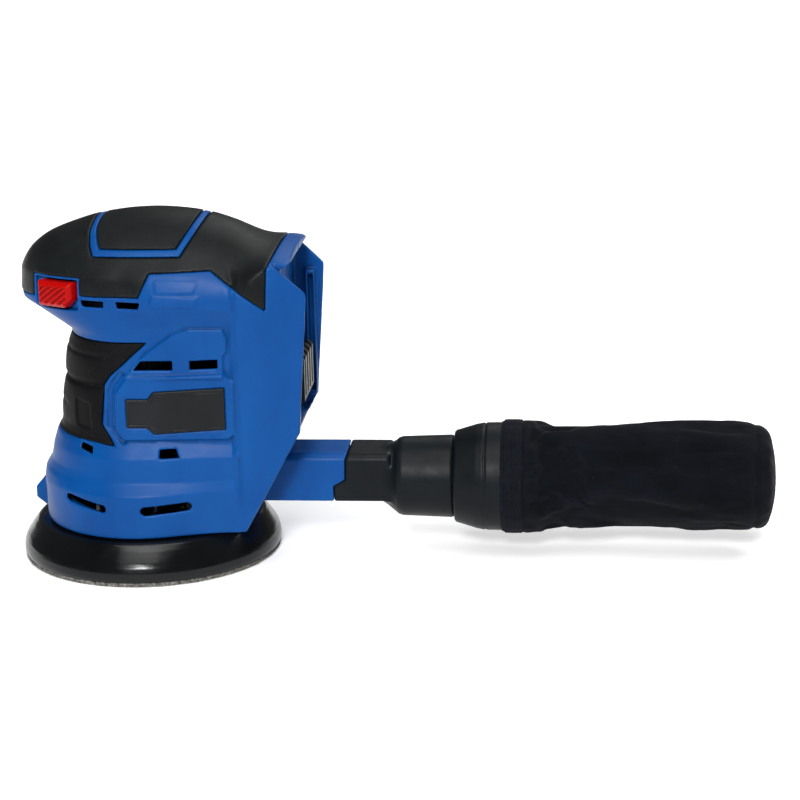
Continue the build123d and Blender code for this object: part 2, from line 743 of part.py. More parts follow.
with BuildPart() as bearing_plate:
    add(upright(0, PLATE_LOW, PLATE_HIGH, PLATE_RADIUS))
    add(upright(MOTOR_X, PLATE_HIGH, LOWER_BEARING_HIGH, 13.6))
    add(upright(MOTOR_X, LOWER_BEARING_LOW, LOWER_BEARING_HIGH + 1, 11), mode=Mode.SUBTRACT)
    add(upright(MOTOR_X, PLATE_LOW - 1, LOWER_BEARING_LOW, 5.2), mode=Mode.SUBTRACT)
bearing_plate.part.label = "bearing_plate"
export_step(bearing_plate.part, "parts/bearing_plate.step")

with BuildPart() as lower_bearing:
    add(ball_bearing(LOWER_BEARING_LOW, LOWER_BEARING_HIGH, 11))
lower_bearing.part.label = "lower_bearing"
export_step(lower_bearing.part, "parts/lower_bearing.step")

with BuildPart() as upper_bearing:
    add(ball_bearing(UPPER_BEARING_LOW, UPPER_BEARING_HIGH, 9.5))
upper_bearing.part.label = "upper_bearing"
export_step(upper_bearing.part, "parts/upper_bearing.step")

with BuildPart() as motor_can:
    add(upright(MOTOR_X, MOTOR_LOW, MOTOR_HIGH, MOTOR_RADIUS, MOTOR_RADIUS - 1.4))
    add(upright(MOTOR_X, MOTOR_LOW, MOTOR_LOW + 1.4, MOTOR_RADIUS, 7))
motor_can.part.label = "motor_can"
export_step(motor_can.part, "parts/motor_can.step")

with BuildPart() as motor_magnets:
    add(upright(MOTOR_X, 64, 99, MOTOR_RADIUS - 1.4, 17.2))
    add(block((-40, -5, 60), (40, 5, 104)), mode=Mode.SUBTRACT)
motor_magnets.part.label = "motor_magnets"
export_step(motor_magnets.part, "parts/motor_magnets.step")

BRUSH_LOW, BRUSH_HIGH = 103.0, 109.0
with BuildPart() as brush_holder:
    add(upright(MOTOR_X, MOTOR_HIGH, UPPER_BEARING_LOW, MOTOR_RADIUS, 5.2))
    add(upright(MOTOR_X, UPPER_BEARING_LOW, UPPER_BEARING_HIGH + 0.8, 12, 9.5))
    for side in (-1, 1):
        near, far = sorted((side * 8.6, side * 17.6))
        add(block((MOTOR_X + near, -4, 101.6), (MOTOR_X + far, 4, MOTOR_HIGH)))
        near, far = sorted((side * 7.6, side * 16.0))
        add(block((MOTOR_X + near, -2.5, BRUSH_LOW), (MOTOR_X + far, 2.5, BRUSH_HIGH)),
            mode=Mode.SUBTRACT)
brush_holder.part.label = "brush_holder"
export_step(brush_holder.part, "parts/brush_holder.step")

with BuildPart() as brushes:
    for side in (-1, 1):
        near, far = sorted((side * 7.6, side * 14.0))
        add(block((MOTOR_X + near, -2.5, BRUSH_LOW), (MOTOR_X + far, 2.5, BRUSH_HIGH)))
brushes.part.label = "brushes"
export_step(brushes.part, "parts/brushes.step")

with BuildPart() as brake_ring:
    add(turned([(41.6, 19.2), (43.2, 18.95), (44.3, 19.6), (44.3, 25.4), (41.6, 25.4)]))
brake_ring.part.label = "brake_ring"
export_step(brake_ring.part, "parts/brake_ring.step")

# ------------------------------------------------------------------ switch
with BuildPart() as switch_button:
    add(on_switch(SWITCH_LOW, SWITCH_HIGH))
    chamfer(switch_button.faces().sort_by(Axis(SWITCH_CENTRE, SWITCH_OUT))[-1].edges(), 1.6)
    add(on_switch((-4.0, -3.0, -7.5), (4.0, 3.0, SWITCH_LOW[2])))
    for step in (-1, 0, 1, 2, 3):
        groove = Rot(0, 0, 35) * block((-14, -0.35, 3.5), (14, 0.35, 6))
        add(switch_plane.from_local_coords(Pos(step * 3.2, 0, 0) * groove), mode=Mode.SUBTRACT)
switch_button.part.label = "switch_button"
export_step(switch_button.part, "parts/switch_button.step")

with BuildPart() as switch_slider:
    add(on_switch((-7.0, -5.0, -9.5), (7.0, 5.0, -7.5)))
    add(on_switch((-2.0, -3.0, -14.8), (2.0, 3.0, -9.5)))
switch_slider.part.label = "switch_slider"
export_step(switch_slider.part, "parts/switch_slider.step")

with BuildPart() as switch_body:
    add(on_switch((-10.0, -6.0, -24.0), (10.0, 4.5, -16.0)))
    for side in (-6.5, 6.5):
        add(on_switch((side - 1.5, 4.5, -22.0), (side + 1.5, 6.5, -18.0)))
switch_body.part.label = "switch_body"
export_step(switch_body.part, "parts/switch_body.step")

# ------------------------------------------------------------------ electrics
BOARD_TOP = BOARD_HEIGHT + 1.6
with BuildPart() as controller_board:
    with BuildSketch(Plane.XY.offset(BOARD_HEIGHT)):
        with Locations((3, 0)):
            RectangleRounded(60, 43, 3)
        with GridLocations(50, 34, 2, 2):
            Circle(1.6, mode=Mode.SUBTRACT)
    extrude(amount=BOARD_TOP - BOARD_HEIGHT)
controller_board.part.label = "controller_board"
export_step(controller_board.part, "parts/controller_board.step")

with BuildPart() as board_parts:
    with BuildSketch(Plane.XY.offset(BOARD_TOP)):
        with Locations((-12, 10), (0, 10)):
            Circle(5)
        with Locations((12, 10)):
            Circle(4)
    extrude(amount=11)
    with BuildSketch(Plane.XY.offset(BOARD_TOP)):
        with GridLocations(12, 10, 4, 1):
            Rectangle(8, 6)
    extrude(amount=3)
    with BuildSketch(Plane.XY.offset(BOARD_TOP)):
        with Locations((22, -11), (-16, -11)):
            Rectangle(9, 8)
    extrude(amount=6)
board_parts.part.label = "board_parts"
export_step(board_parts.part, "parts/board_parts.step")

HOLDER_DEPTH = 10.5
BLADE_PITCH = 8.0
with BuildPart() as terminal_holder:
    add(block((BAY_BACK, -17, 73.5), (BAY_BACK + HOLDER_DEPTH, 17, 96.5)))
    chamfer(terminal_holder.faces().sort_by(Axis.X)[-1].edges().filter_by(Axis.Y), 2)
    for place in range(4):
        middle = (place - 1.5) * BLADE_PITCH
        add(block((BAY_BACK + 1.5, middle - 1.6, 77), (BAY_BACK + 12, middle + 1.6, 98)),
            mode=Mode.SUBTRACT)
terminal_holder.part.label = "terminal_holder"
export_step(terminal_holder.part, "parts/terminal_holder.step")

with BuildPart() as terminal_blades:
    for place in range(4):
        middle = (place - 1.5) * BLADE_PITCH
        add(block((BAY_BACK + 1.5, middle - 0.4, 77), (BAY_BACK + 9.5, middle + 0.4, 92)))
terminal_blades.part.label = "terminal_blades"
export_step(terminal_blades.part, "parts/terminal_blades.step")

with BuildPart() as battery_leads:
    for side in (-1, 1):
        y = side * LEAD_SPACING
        with BuildLine() as lead_path:
            FilletPolyline(
                (BAY_BACK, y, LEAD_LOW), (58.5, y, LEAD_LOW), (58.5, y, 121), (47, y, 133.5),
                (33.5, y, BOARD_HEIGHT + 0.8), radius=[3.2, 9, 9],
            )
        with BuildSketch(Plane(origin=(BAY_BACK, y, LEAD_LOW), z_dir=(-1, 0, 0))):
            Circle(LEAD_RADIUS)
        sweep(path=lead_path.line)
battery_leads.part.label = "battery_leads"
export_step(battery_leads.part, "parts/battery_leads.step")
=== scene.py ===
"""Looks of the cordless random-orbital sander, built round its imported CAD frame.

Lengths in the modelling code are millimetres in the row frame, and every mesh is written
to Blender in metres. -Y is the side with the slide switch, +X points to the dust bag.
"""

import json
import math
from itertools import product

import bpy
import numpy as np
from mathutils import Matrix, Vector, noise


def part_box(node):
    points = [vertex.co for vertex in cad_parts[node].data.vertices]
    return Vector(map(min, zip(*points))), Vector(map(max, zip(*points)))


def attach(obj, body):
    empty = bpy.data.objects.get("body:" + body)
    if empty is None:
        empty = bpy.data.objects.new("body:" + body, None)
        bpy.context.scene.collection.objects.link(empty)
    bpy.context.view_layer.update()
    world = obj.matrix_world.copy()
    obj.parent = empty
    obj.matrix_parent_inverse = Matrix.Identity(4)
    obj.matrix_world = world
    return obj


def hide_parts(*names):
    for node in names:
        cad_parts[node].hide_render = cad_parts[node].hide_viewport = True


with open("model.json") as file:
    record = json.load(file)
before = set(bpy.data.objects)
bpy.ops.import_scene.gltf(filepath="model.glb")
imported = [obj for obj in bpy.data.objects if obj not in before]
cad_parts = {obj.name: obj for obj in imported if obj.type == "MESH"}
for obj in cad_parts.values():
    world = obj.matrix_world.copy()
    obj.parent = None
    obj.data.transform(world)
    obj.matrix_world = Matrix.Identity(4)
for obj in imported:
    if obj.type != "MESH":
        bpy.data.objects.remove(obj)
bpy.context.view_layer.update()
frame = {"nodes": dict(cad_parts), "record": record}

MM = 0.001


def box_mm(node):
    """A CAD node's two corners in millimetres."""
    low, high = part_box(node)
    return np.array(low) / MM, np.array(high) / MM


# ------------------------------------------------------------------ sizes of the casing
CASE_FLOOR = box_mm("housing_left")[0][2]
WALL = 2.6
SKIN = 1.7                 # how deep the soft skins sit in the casing
SEAM = 0.14                # half of the visible joint between two mouldings
SPINE_WIDTH = 42.0
BAY_INNER = 34.5
BAY_BACK = 66.0
REAR_EDGE = 80.7
PLAN_TAIL = 46.0
ROOF_EDGE = 44.0
SPINE_START, SPINE_END = 50.0, 66.0    # where the casing passes into the spine and the bay
RECESS_DEPTH = 3.5
RECESS_BACK, RECESS_TOP = (46.2, 4.3), (115.0, 8.8)    # where its two walls rise, and over how far
GRIP_RIBS = (66.5, 20.6)   # a valley between two ribs, and the ribs' pitch
BAY_WALL = 65.0            # front of the bay's slanted top wall
BAY_SLANT = (68.1, 140.8, 0.671, 0.741)    # a point on that wall, X and Z, and its normal
MOTOR_X = -1.25
MOTOR_CLEARANCE = 21.1
FAN_CHAMBER = 43.4
FAN_RECESS = (44.45, 25.6)    # radius and roof of the space over the pad
DUCT_RISE = 0.9            # the duct stands this far above its CAD solid
DIAGONAL = 0.7071
CAD_MARGIN = 4.0           # how far a piece may stray from the boxes of the nodes it replaces

# Height against the casing's reach at the nose
NOSE = [(19.5, 48.5), (38.5, 49.0), (42.6, 48.4), (47.6, 45.3), (54.0, 44.0), (60.8, 41.8),
        (63.4, 39.4), (69.0, 38.7), (76.0, 37.5), (89.0, 36.1), (100.0, 34.2), (107.0, 32.2),
        (110.0, 32.6), (123.5, 54.3), (127.0, 54.8), (137.0, 54.2), (146.0, 51.0),
        (152.0, 47.0), (168.0, 40.0)]
# Height against the half width at the motor
WIDTH = [(19.5, 50.0), (39.0, 49.2), (44.4, 45.6), (55.2, 43.8), (61.4, 40.6), (63.0, 39.8),
         (83.0, 39.2), (100.0, 38.4), (109.5, 38.0), (122.5, 39.5), (127.0, 39.6),
         (137.0, 39.2), (146.0, 37.0), (152.0, 34.0), (168.0, 28.0)]
# Height against the half width at the tail
TAIL = [(19.5, 39.5), (30.0, 40.8), (39.2, 41.9), (45.4, 40.6), (55.4, 41.2), (61.4, 38.9),
        (63.0, 38.6), (118.0, 38.5), (124.0, 38.6), (137.0, 38.6), (146.0, 37.0),
        (152.0, 35.0), (168.0, 30.0)]
# Station along X against the height of the ridge
RIDGE = [(-66.0, 134.0), (-51.0, 146.4), (-43.0, 151.0), (-35.4, 154.3), (-20.0, 159.4),
         (-5.0, 161.8), (8.0, 162.5), (20.0, 161.8), (32.0, 160.1), (46.0, 155.4),
         (53.0, 151.2), (60.6, 148.0), (73.4, 147.0), (80.7, 139.5), (96.0, 124.0)]
# Station along X against how far the roof falls from its ridge to its edge
FALL = [(-66.0, 33.0), (32.0, 33.0), (46.0, 26.0), (53.0, 17.0), (60.6, 9.0), (66.0, 6.0),
        (96.0, 6.0)]

# Side outlines, X against Z
TOP_GRIP = [(-70, 125.2), (-45, 126.8), (-26, 129.4), (-15, 128.9), (6.6, 129.0), (11.7, 139.4),
            (38.6, 140.3), (62.9, 123.1), (63.8, 141.6), (66.5, 147.5), (72, 152), (72, 180),
            (-70, 180)]
TRIM = [(-14.6, 145.9), (-16.6, 150), (-18.2, 155), (-17.8, 180), (46.0, 180), (24.6, 145.9)]
PALM = [(-11.8, 148.9), (-13.6, 152), (-15.2, 156), (-14.8, 180), (41.5, 180), (22.8, 148.9)]
FRONT_GRIP = [(-70, 107.6), (8.7, 107.9), (-8.4, 92.8), (-11.4, 88.6), (-13.4, 69.9),
              (-7.5, 60.5), (-16, 61.5), (-24, 61.9), (-70, 61.6)]
LABEL = [(-1.6, 69.4), (7.5, 69.4), (11, 66.4), (43.5, 68.6), (43.5, 88.0), (11, 86.0),
         (8.5, 82.7), (-1.6, 82.7)]
SIDE_BLOCK = [(24, 19.5), (50.6, 19.6), (60.4, 37.4), (75.9, 65.7), (REAR_EDGE, 128),
              (REAR_EDGE, 190), (24, 190)]
PLAN_BLOCK = [(20, 30), (46.0, 37.9), (50.6, SPINE_WIDTH), (61, SPINE_WIDTH),
              (REAR_EDGE, 36.3), (90, 33.6), (90, -5), (20, -5)]
END_BLOCK = [(-5, 19), (39.4, 19), (40.8, 30), (SPINE_WIDTH, 40), (SPINE_WIDTH, 190),
             (-5, 190)]
# Height against the station of the crease between the spine and the bay's outer wall
CREASE = [(38.5, 61.0), (100.0, 59.5), (123.0, 57.4), (140.0, 55.5)]
BAY = [(BAY_BACK, 62), (BAY_BACK, 135), (69.6, 140.6), (73.4, 142.4), (73.4, 185), (98, 185),
       (98, 50), (78, 50)]
LUG = [(-40, 21), (-50.5, 21), (-54.8, 24.5), (-54.8, 29.5), (-50.5, 34.5), (-40, 36.5)]
SLOTS = [
    [(-20.4, 127.2), (-9.6, 126.9), (-9.8, 124.1), (-19.4, 124.3)],
    [(-3.9, 126.8), (7.2, 126.7), (6.2, 123.9), (-3.2, 123.9)],
    [(2.4, 95.6), (5.8, 99.8), (20.2, 99.9), (20.2, 95.7)],
    [(28.0, 96.0), (28.0, 100.0), (40.6, 100.6), (40.6, 96.6)],
    [(-23.6, 60.6), (-18.2, 59.4), (-18.4, 56.4), (-24.6, 58.0)],
    [(13.1, 59.2), (20.3, 59.6), (22.0, 55.7), (12.9, 55.3)],
    [(-31.4, 36.9), (-29.6, 37.6), (-12.6, 34.6), (-11.7, 33.4), (-11.9, 31.7), (-13.4, 31.1),
     (-30.2, 34.0), (-31.6, 35.2)],
    [(4.2, 33.0), (5.4, 34.2), (25.2, 35.6), (26.8, 34.6), (27.0, 33.0), (25.6, 31.6),
     (6.2, 30.2), (4.6, 31.2)],
]
UPPER_PANEL = [(-1.5, 92.5), (9.8, 103.7), (20.7, 111.3), (28.3, 114.0), (43.0, 114.0),
               (44.6, 110.5), (44.4, 104.6), (42.6, 102.3), (42.6, 92.5)]
LABEL_PLATEAU = [(-1.6, 90.2), (-5.8, 84.5), (-6.1, 68.5), (-2.6, 64.2), (44.0, 64.6),
                 (46.2, 66.5), (46.6, 90.3), (43.0, 93.6), (-0.4, 91.4)]
GRIP_GROOVE = [(-4.0, 95.0), (-8.2, 89.5), (-10.2, 84.5), (-10.8, 69.5), (-4.0, 61.6),
               (-2.2, 62.4), (-8.8, 70.2), (-8.2, 84.0), (-6.6, 88.4), (-2.0, 93.8)]
GRIP_PANEL = [(-26.5, 68.0), (-19.5, 67.2), (-19.5, 78.6), (-26.5, 79.8)]
HEAD_BARS = [
    [(14.8, 136.6), (33.0, 135.9), (31.0, 131.3), (15.0, 131.5)],
    [(13.4, 130.0), (33.3, 129.2), (31.0, 125.5), (12.0, 125.5)],
]
SWITCH_CENTRE = (-33.6, -30.6, 128.6)
SWITCH_ALONG = (0.885, -0.467, 0.0)
SWITCH_OUT = (-0.467, -0.885, 0.0)
POCKET_RIM = 0.9
POCKET_DEPTH, LINER_DEPTH = 3.4, 9.0
RIB_LEVELS = ((68.0, 70.5), (103.0, 105.5))
RAIL_LEVELS = ((65.5, 126.5), (55.0, 61.0))
# X, Z and the depth of the well, measured from the middle of the casing
SCREW_PLACES = [(-42.0, 141.0, 11.0), (41.0, 144.0, 20.0), (50.0, 112.0, 26.0),
                (49.0, 62.0, 26.0), (27.5, 64.0, 26.0), (-32.0, 66.0, 12.0)]
SCREW_WELL = 3.5
SCREW_BOSS = 4.4
duct_corners, collar_corners = box_mm("dust_duct"), box_mm("bag_collar")
DUCT_LOW, DUCT_HIGH = duct_corners[0][2] + DUCT_RISE, duct_corners[1][2] + DUCT_RISE
DUCT_HALF = duct_corners[1][1]
BAG_AXIS = (collar_corners[0][2] + collar_corners[1][2]) / 2


# ------------------------------------------------------------------ distance fields
def curve(points, blur=0.7, step=0.1):
    """A smoothed curve through (place, value) points, as a function of place."""
    places, values = np.array(points, float).T
    fine = np.arange(places[0], places[-1] + step, step)
    reach = int(4 * blur / step)
    weights = np.exp(-0.5 * (np.arange(-reach, reach + 1) * step / blur) ** 2)
    padded = np.pad(np.interp(fine, places, values), reach, mode="edge")
    smooth = np.convolve(padded, weights / weights.sum(), mode="valid")
    return lambda place: np.interp(place, fine, smooth)


nose_at = curve(NOSE, blur=0.45)
width_at = curve(WIDTH, blur=0.35)
tail_at = curve(TAIL, blur=0.35)
crease_at = curve(CREASE, blur=4.0)
ridge_at = curve(RIDGE, blur=4.0)
fall_at = curve(FALL, blur=2.5)


def join(a, b, radius):
    """Union of two fields with a fillet."""
    blend = np.maximum(radius - np.abs(a - b), 0) / radius
    return np.minimum(a, b) - blend * blend * radius / 4


def meet(a, b, radius):
    """Intersection of two fields with a rounded edge."""
    return -join(-a, -b, radius)


def cut(a, b, radius):
    """Field a without field b, with a rounded edge."""
    return meet(a, -b, radius)


def outline(u, v, points):
    """Distance from a closed outline, negative inside."""
    nearest, sign = None, 1.0
    for (u0, v0), (u1, v1) in zip(points, points[1:] + points[:1]):
        eu, ev, wu, wv = u1 - u0, v1 - v0, u - u0, v - v0
        along = np.clip((wu * eu + wv * ev) / (eu * eu + ev * ev), 0, 1)
        away = (wu - eu * along) ** 2 + (wv - ev * along) ** 2
        nearest = away if nearest is None else np.minimum(nearest, away)
        above, below, left = v >= v0, v < v1, eu * wv > ev * wu
        flip = (above & below & left) | ~(above | below | left)
        sign = np.where(flip, -sign, sign)
    return sign * np.sqrt(nearest)


def ramp(value, start, end):
    """0 before start, 1 after end, smooth between."""
    t = np.clip((value - start) / (end - start), 0, 1)
    return t * t * (3 - 2 * t)


def raised(u, v, points, bevel):
    """1 inside an outline, falling to 0 over the bevel outside it."""
    return 1 - ramp(outline(u, v, points), 0, bevel)


def side_relief(x, z):
    """How far the sides stand out of the plain casing."""
    back_wall = np.maximum(x - RECESS_BACK[0], 0) / RECESS_BACK[1]
    top_wall = np.maximum(z - RECESS_TOP[0], 0) / RECESS_TOP[1]
    span = ramp(z, 55, 57) * ramp(x, -4, 16) * (1 - ramp(z, 138, 146))
    relief = RECESS_DEPTH * np.minimum(np.hypot(back_wall, top_wall), 1) * span
    relief = relief + 1.1 * raised(x, z, UPPER_PANEL, 0.9)
    relief = relief + 1.8 * raised(x, z, LABEL_PLATEAU, 1.6)
    relief = relief - 0.9 * raised(x, z, GRIP_GROOVE, 0.7)
    for strip in HEAD_BARS:
        relief = relief + 0.7 * raised(x, z, strip, 0.8)
    return relief


def grip_relief(x, z):
    """Ribs and the sunk panel of the front grip."""
    valley, pitch = GRIP_RIBS
    bumps = np.abs(np.sin((z - valley) / pitch * math.pi))
    relief = 0.9 * bumps - 1.2 * np.exp(-((z - 87.3) / 1.4) ** 2)
    relief = relief - 0.45 * np.exp(-((z - 101.0) / 1.0) ** 2)
    relief = relief - 0.4 * np.exp(-((z - 75.5) / 1.0) ** 2) * (1 - ramp(x, -34, -31))
    return relief - 0.6 * raised(x, z, GRIP_PANEL, 0.8)


def roof(x, y, z):
    """The arched roof, falling from the ridge to the side edges."""
    fall = fall_at(x)
    radius = (ROOF_EDGE**2 + fall**2) / (2 * fall)
    reach = np.minimum(np.abs(y), ROOF_EDGE)
    below = radius - np.sqrt(radius**2 - reach**2) + 1.2 * (np.abs(y) - reach)
    return (z - ridge_at(x) + below) * 0.8


def casing(x, y, z):
    """The whole outer form of the casing."""
    side = np.abs(y)
    nose, width, tail = nose_at(z), width_at(z), tail_at(z)
    front = (np.sqrt((x / nose) ** 2 + (side / width) ** 2) - 1) * np.minimum(nose, width)
    flank = side - (width + (tail - width) * ramp(x, 0, PLAN_TAIL))
    body = np.where(x < 0, front, flank) - side_relief(x, z) * ramp(side, 25, 30)
    body = meet(body, x - PLAN_TAIL - 3, 3.0)
    shifted = x + (61 - crease_at(z)) * ramp(x, SPINE_START, 56)
    block = meet(outline(x, z, SIDE_BLOCK), outline(shifted, side, PLAN_BLOCK), 0.7)
    block = meet(block, outline(side, z, END_BLOCK), 1.5)
    form = join(body, block, 1.2)
    form = meet(form, roof(x, y, z), 5.4 - 4.2 * ramp(x, SPINE_START, SPINE_END))
    wall_x, wall_z, slant_x, slant_z = BAY_SLANT
    above_wall = (x - wall_x) * slant_x + (z - wall_z) * slant_z
    beside_bay = np.maximum(-above_wall, BAY_INNER - side)
    form = cut(form, np.maximum(beside_bay, BAY_WALL - x), 0.4)
    return meet(form, CASE_FLOOR - z, 1.0)


def switch_frame(x, y, z):
    """Along, up and out of the slide switch's own frame."""
    dx, dy, dz = (place - centre for place, centre in zip((x, y, z), SWITCH_CENTRE))
    along = dx * SWITCH_ALONG[0] + dy * SWITCH_ALONG[1]
    out = dx * SWITCH_OUT[0] + dy * SWITCH_OUT[1]
    return along, dz, out


def bar(values, low, high, radius):
    """Distance from a box given by its corners, with rounded edges."""
    parts = [np.maximum(a - value, value - b) for value, a, b in zip(values, low, high)]
    field = parts[0]
    for part in parts[1:]:
        field = meet(field, part, radius)
    return field


def switch_pocket(x, y, z, grow=0.0, depth=POCKET_DEPTH):
    """The pocket that the slide switch runs in, or a larger box round it."""
    low = (-11.6 - grow, -6.4 - grow, -depth)
    high = (13.0 + grow, 7.4 + grow, 14.0)
    return bar(switch_frame(x, y, z), low, high, 0.9)


def housing(x, y, z, side):
    """One clamshell half: side is -1 for the switch side and +1 for the far side."""
    form = casing(x, y, z)
    shell = cut(form, form + WALL, 0.5)
    inside = form + WALL / 2
    round_motor = np.sqrt((x - MOTOR_X) ** 2 + y * y)
    for low, high in RIB_LEVELS:
        level = np.maximum(low - z, z - high)
        rib = np.maximum(level, np.maximum(MOTOR_CLEARANCE - round_motor, x - 34))
        shell = join(shell, np.maximum(rib, inside), 0.6)
    for screw_x, screw_z, _ in SCREW_PLACES:
        boss = np.sqrt((x - screw_x) ** 2 + (z - screw_z) ** 2) - SCREW_BOSS
        shell = join(shell, np.maximum(boss, inside), 0.8)
    chamber = np.sqrt(x * x + y * y)
    ring = np.maximum(np.abs(chamber - FAN_CHAMBER) - 2.0, np.abs(z - 38.5) - 11.5)
    shell = join(shell, np.maximum(ring, inside), 0.6)
    shell = cut(shell, np.maximum(chamber - FAN_RECESS[0], z - FAN_RECESS[1]), 0.4)
    rim = switch_pocket(x, y, z, POCKET_RIM, LINER_DEPTH)
    if side < 0:
        liner = np.maximum(np.maximum(rim, -switch_frame(x, y, z)[2] - 5.0), form)
        shell = join(shell, liner, 0.5)
    for skin in (TOP_GRIP, FRONT_GRIP):
        bed = np.maximum(outline(x, z, skin) - SEAM, -(form + SKIN))
        shell = cut(shell, np.maximum(bed, SEAM - rim), 0.5)
    shell = cut(shell, np.maximum(outline(x, z, LABEL), -(form + 0.8)), 0.4)
    lug = meet(outline(x, z, LUG), np.abs(y) - 4.5, 2.5)
    shell = join(shell, np.maximum(lug, -(form + 1.0)), 2.5)
    for slot in SLOTS:
        opening = outline(x, z, slot)
        shell = cut(shell, meet(opening, 20 - np.abs(y), 0.6), 0.8)
        flare = np.maximum(opening - 2.4, form + 1.4)    # wider behind a thin outer lip
        shell = cut(shell, np.maximum(flare, 20 - np.abs(y)), 0.3)
    bay = meet(outline(x, z, BAY), np.abs(y) - BAY_INNER, 1.2)
    lining = np.maximum(meet(bay - WALL, form, 0.8), x - REAR_EDGE)
    shell = join(shell, lining, 0.5)
    shell = cut(shell, bay, 0.9)
    for low, high in RAIL_LEVELS:
        rail = bar((x, z, np.abs(y)), (72.0, low, 31.2), (76.4, high, 36.0), 0.6)
        groove = bar((x, z, np.abs(y)), (73.0, low + 2, 30.0), (75.6, high - 2, 35.9), 0.3)
        shell = cut(join(shell, np.maximum(rail, form), 0.8), groove, 0.3)
    duct = bar((y, z), (-14.2, DUCT_LOW - 0.2), (14.2, DUCT_HIGH + 0.2), 2.5)
    shell = cut(shell, np.maximum(duct, 40 - x), 0.8)
    if side < 0:
        shell = cut(shell, switch_pocket(x, y, z), 0.8)
        slot = bar(switch_frame(x, y, z), (-8.4, -3.4, -9.0), (4.4, 3.4, 3.0), 0.6)
        shell = cut(shell, slot, 0.4)
    else:
        for screw_x, screw_z, depth in SCREW_PLACES:
            away = np.sqrt((x - screw_x) ** 2 + (z - screw_z) ** 2)
            tube = np.maximum(away - SCREW_WELL - 1.6, form)
            shell = join(shell, np.maximum(tube, depth - 2 - y), 0.8)
            shell = cut(shell, np.maximum(away - SCREW_WELL, depth - y), 0.6)
    return meet(shell, 0.06 - side * y, 0.25)


def soft_skin(x, y, z, inside, outside, proud, relief):
    """A soft skin over the casing: inside one outline and outside others."""
    form = casing(x, y, z) - relief
    skin = meet(form - proud, outline(x, z, inside) + SEAM, 0.9)
    for other in outside:
        skin = cut(skin, other - SEAM, 0.9)
    return np.maximum(skin, -(form + SKIN - 0.1))


def top_grip(x, y, z):
    """The head's soft skin, open for the blue band and the switch."""
    openings = [outline(x, z, TRIM), switch_pocket(x, y, z, POCKET_RIM, LINER_DEPTH)]
    return soft_skin(x, y, z, TOP_GRIP, openings, 0.2, 0.0)


def top_trim(x, y, z):
    """The blue band round the palm pad."""
    return soft_skin(x, y, z, TRIM, [outline(x, z, PALM)], 0.0, 0.0)


def palm_pad(x, y, z):
    """The skin inside the band."""
    return soft_skin(x, y, z, PALM, [], 0.15, 0.0)


def front_grip(x, y, z):
    """The ribbed skin at the front of the neck."""
    return soft_skin(x, y, z, FRONT_GRIP, [], 0.1, grip_relief(x, z))


# ------------------------------------------------------------------ meshing a field
CORNERS = np.array(list(product((0, 1), repeat=3)))
EDGES = [(a, b) for a in range(8) for b in range(a + 1, 8)
         if abs(CORNERS[a] - CORNERS[b]).sum() == 1]


def surface_net(field, low, high, cell):
    """Vertices and quads on the field's zero surface."""
    axes = [np.arange(a - 2 * cell, b + 3 * cell, cell) for a, b in zip(low, high)]
    x, y, z = np.meshgrid(*axes, indexing="ij", sparse=True)
    values = np.broadcast_to(field(x, y, z), tuple(len(a) for a in axes))
    inside = values < 0
    size = np.array(values.shape) - 1
    count = np.zeros(size, np.uint8)
    for dx, dy, dz in CORNERS:
        count += inside[dx:size[0] + dx, dy:size[1] + dy, dz:size[2] + dz]
    active = (count > 0) & (count < 8)
    cells = np.argwhere(active)
    number = np.full(size, -1, np.int64)
    number[active] = np.arange(len(cells))
    total = np.zeros((len(cells), 3))
    hits = np.zeros(len(cells))
    for a, b in EDGES:
        at_a = values[tuple((cells + CORNERS[a]).T)]
        at_b = values[tuple((cells + CORNERS[b]).T)]
        crossed = (at_a < 0) != (at_b < 0)
        share = np.where(crossed, at_a / np.where(crossed, at_a - at_b, 1), 0)
        place = CORNERS[a] + share[:, None] * (CORNERS[b] - CORNERS[a])
        total += place * crossed[:, None]
        hits += crossed
    points = np.array([a[0] for a in axes]) + cell * (cells + total / hits[:, None])
    quads = []
    for axis in range(3):
        second, third = (axis + 1) % 3, (axis + 2) % 3
        here = [slice(1, -1)] * 3
        there = [slice(1, -1)] * 3
        here[axis], there[axis] = slice(0, -1), slice(1, None)
        first_in, next_in = inside[tuple(here)], inside[tuple(there)]
        base = np.argwhere(first_in != next_in)
        base[:, [second, third]] += 1
        outward = first_in[first_in != next_in]
        ring = []
        for step_b, step_c in ((-1, -1), (0, -1), (0, 0), (-1, 0)):
            place = base.copy()
            place[:, second] += step_b
            place[:, third] += step_c
            ring.append(number[tuple(place.T)])
        face = np.stack(ring, 1)
        face[~outward] = face[~outward][:, ::-1]
        quads.append(face)
    quads = np.concatenate(quads)
    return settle(field, points, cell), quads[(quads >= 0).all(1)]


def settle(field, points, cell, rounds=3):
    """Moves points along the field's slope onto its zero surface."""
    step = 0.15 * cell
    for _ in range(rounds):
        here = field(*points.T)
        slope = np.empty_like(points)
        for axis in range(3):
            ahead, behind = points.copy(), points.copy()
            ahead[:, axis] += step
            behind[:, axis] -= step
            slope[:, axis] = (field(*ahead.T) - field(*behind.T)) / (2 * step)
        move = slope * (here / np.maximum((slope**2).sum(1), 0.05))[:, None]
        length = np.maximum(np.linalg.norm(move, axis=1), 1e-9)
        points = points - move * np.minimum(1, 0.4 * cell / length)[:, None]
    return points


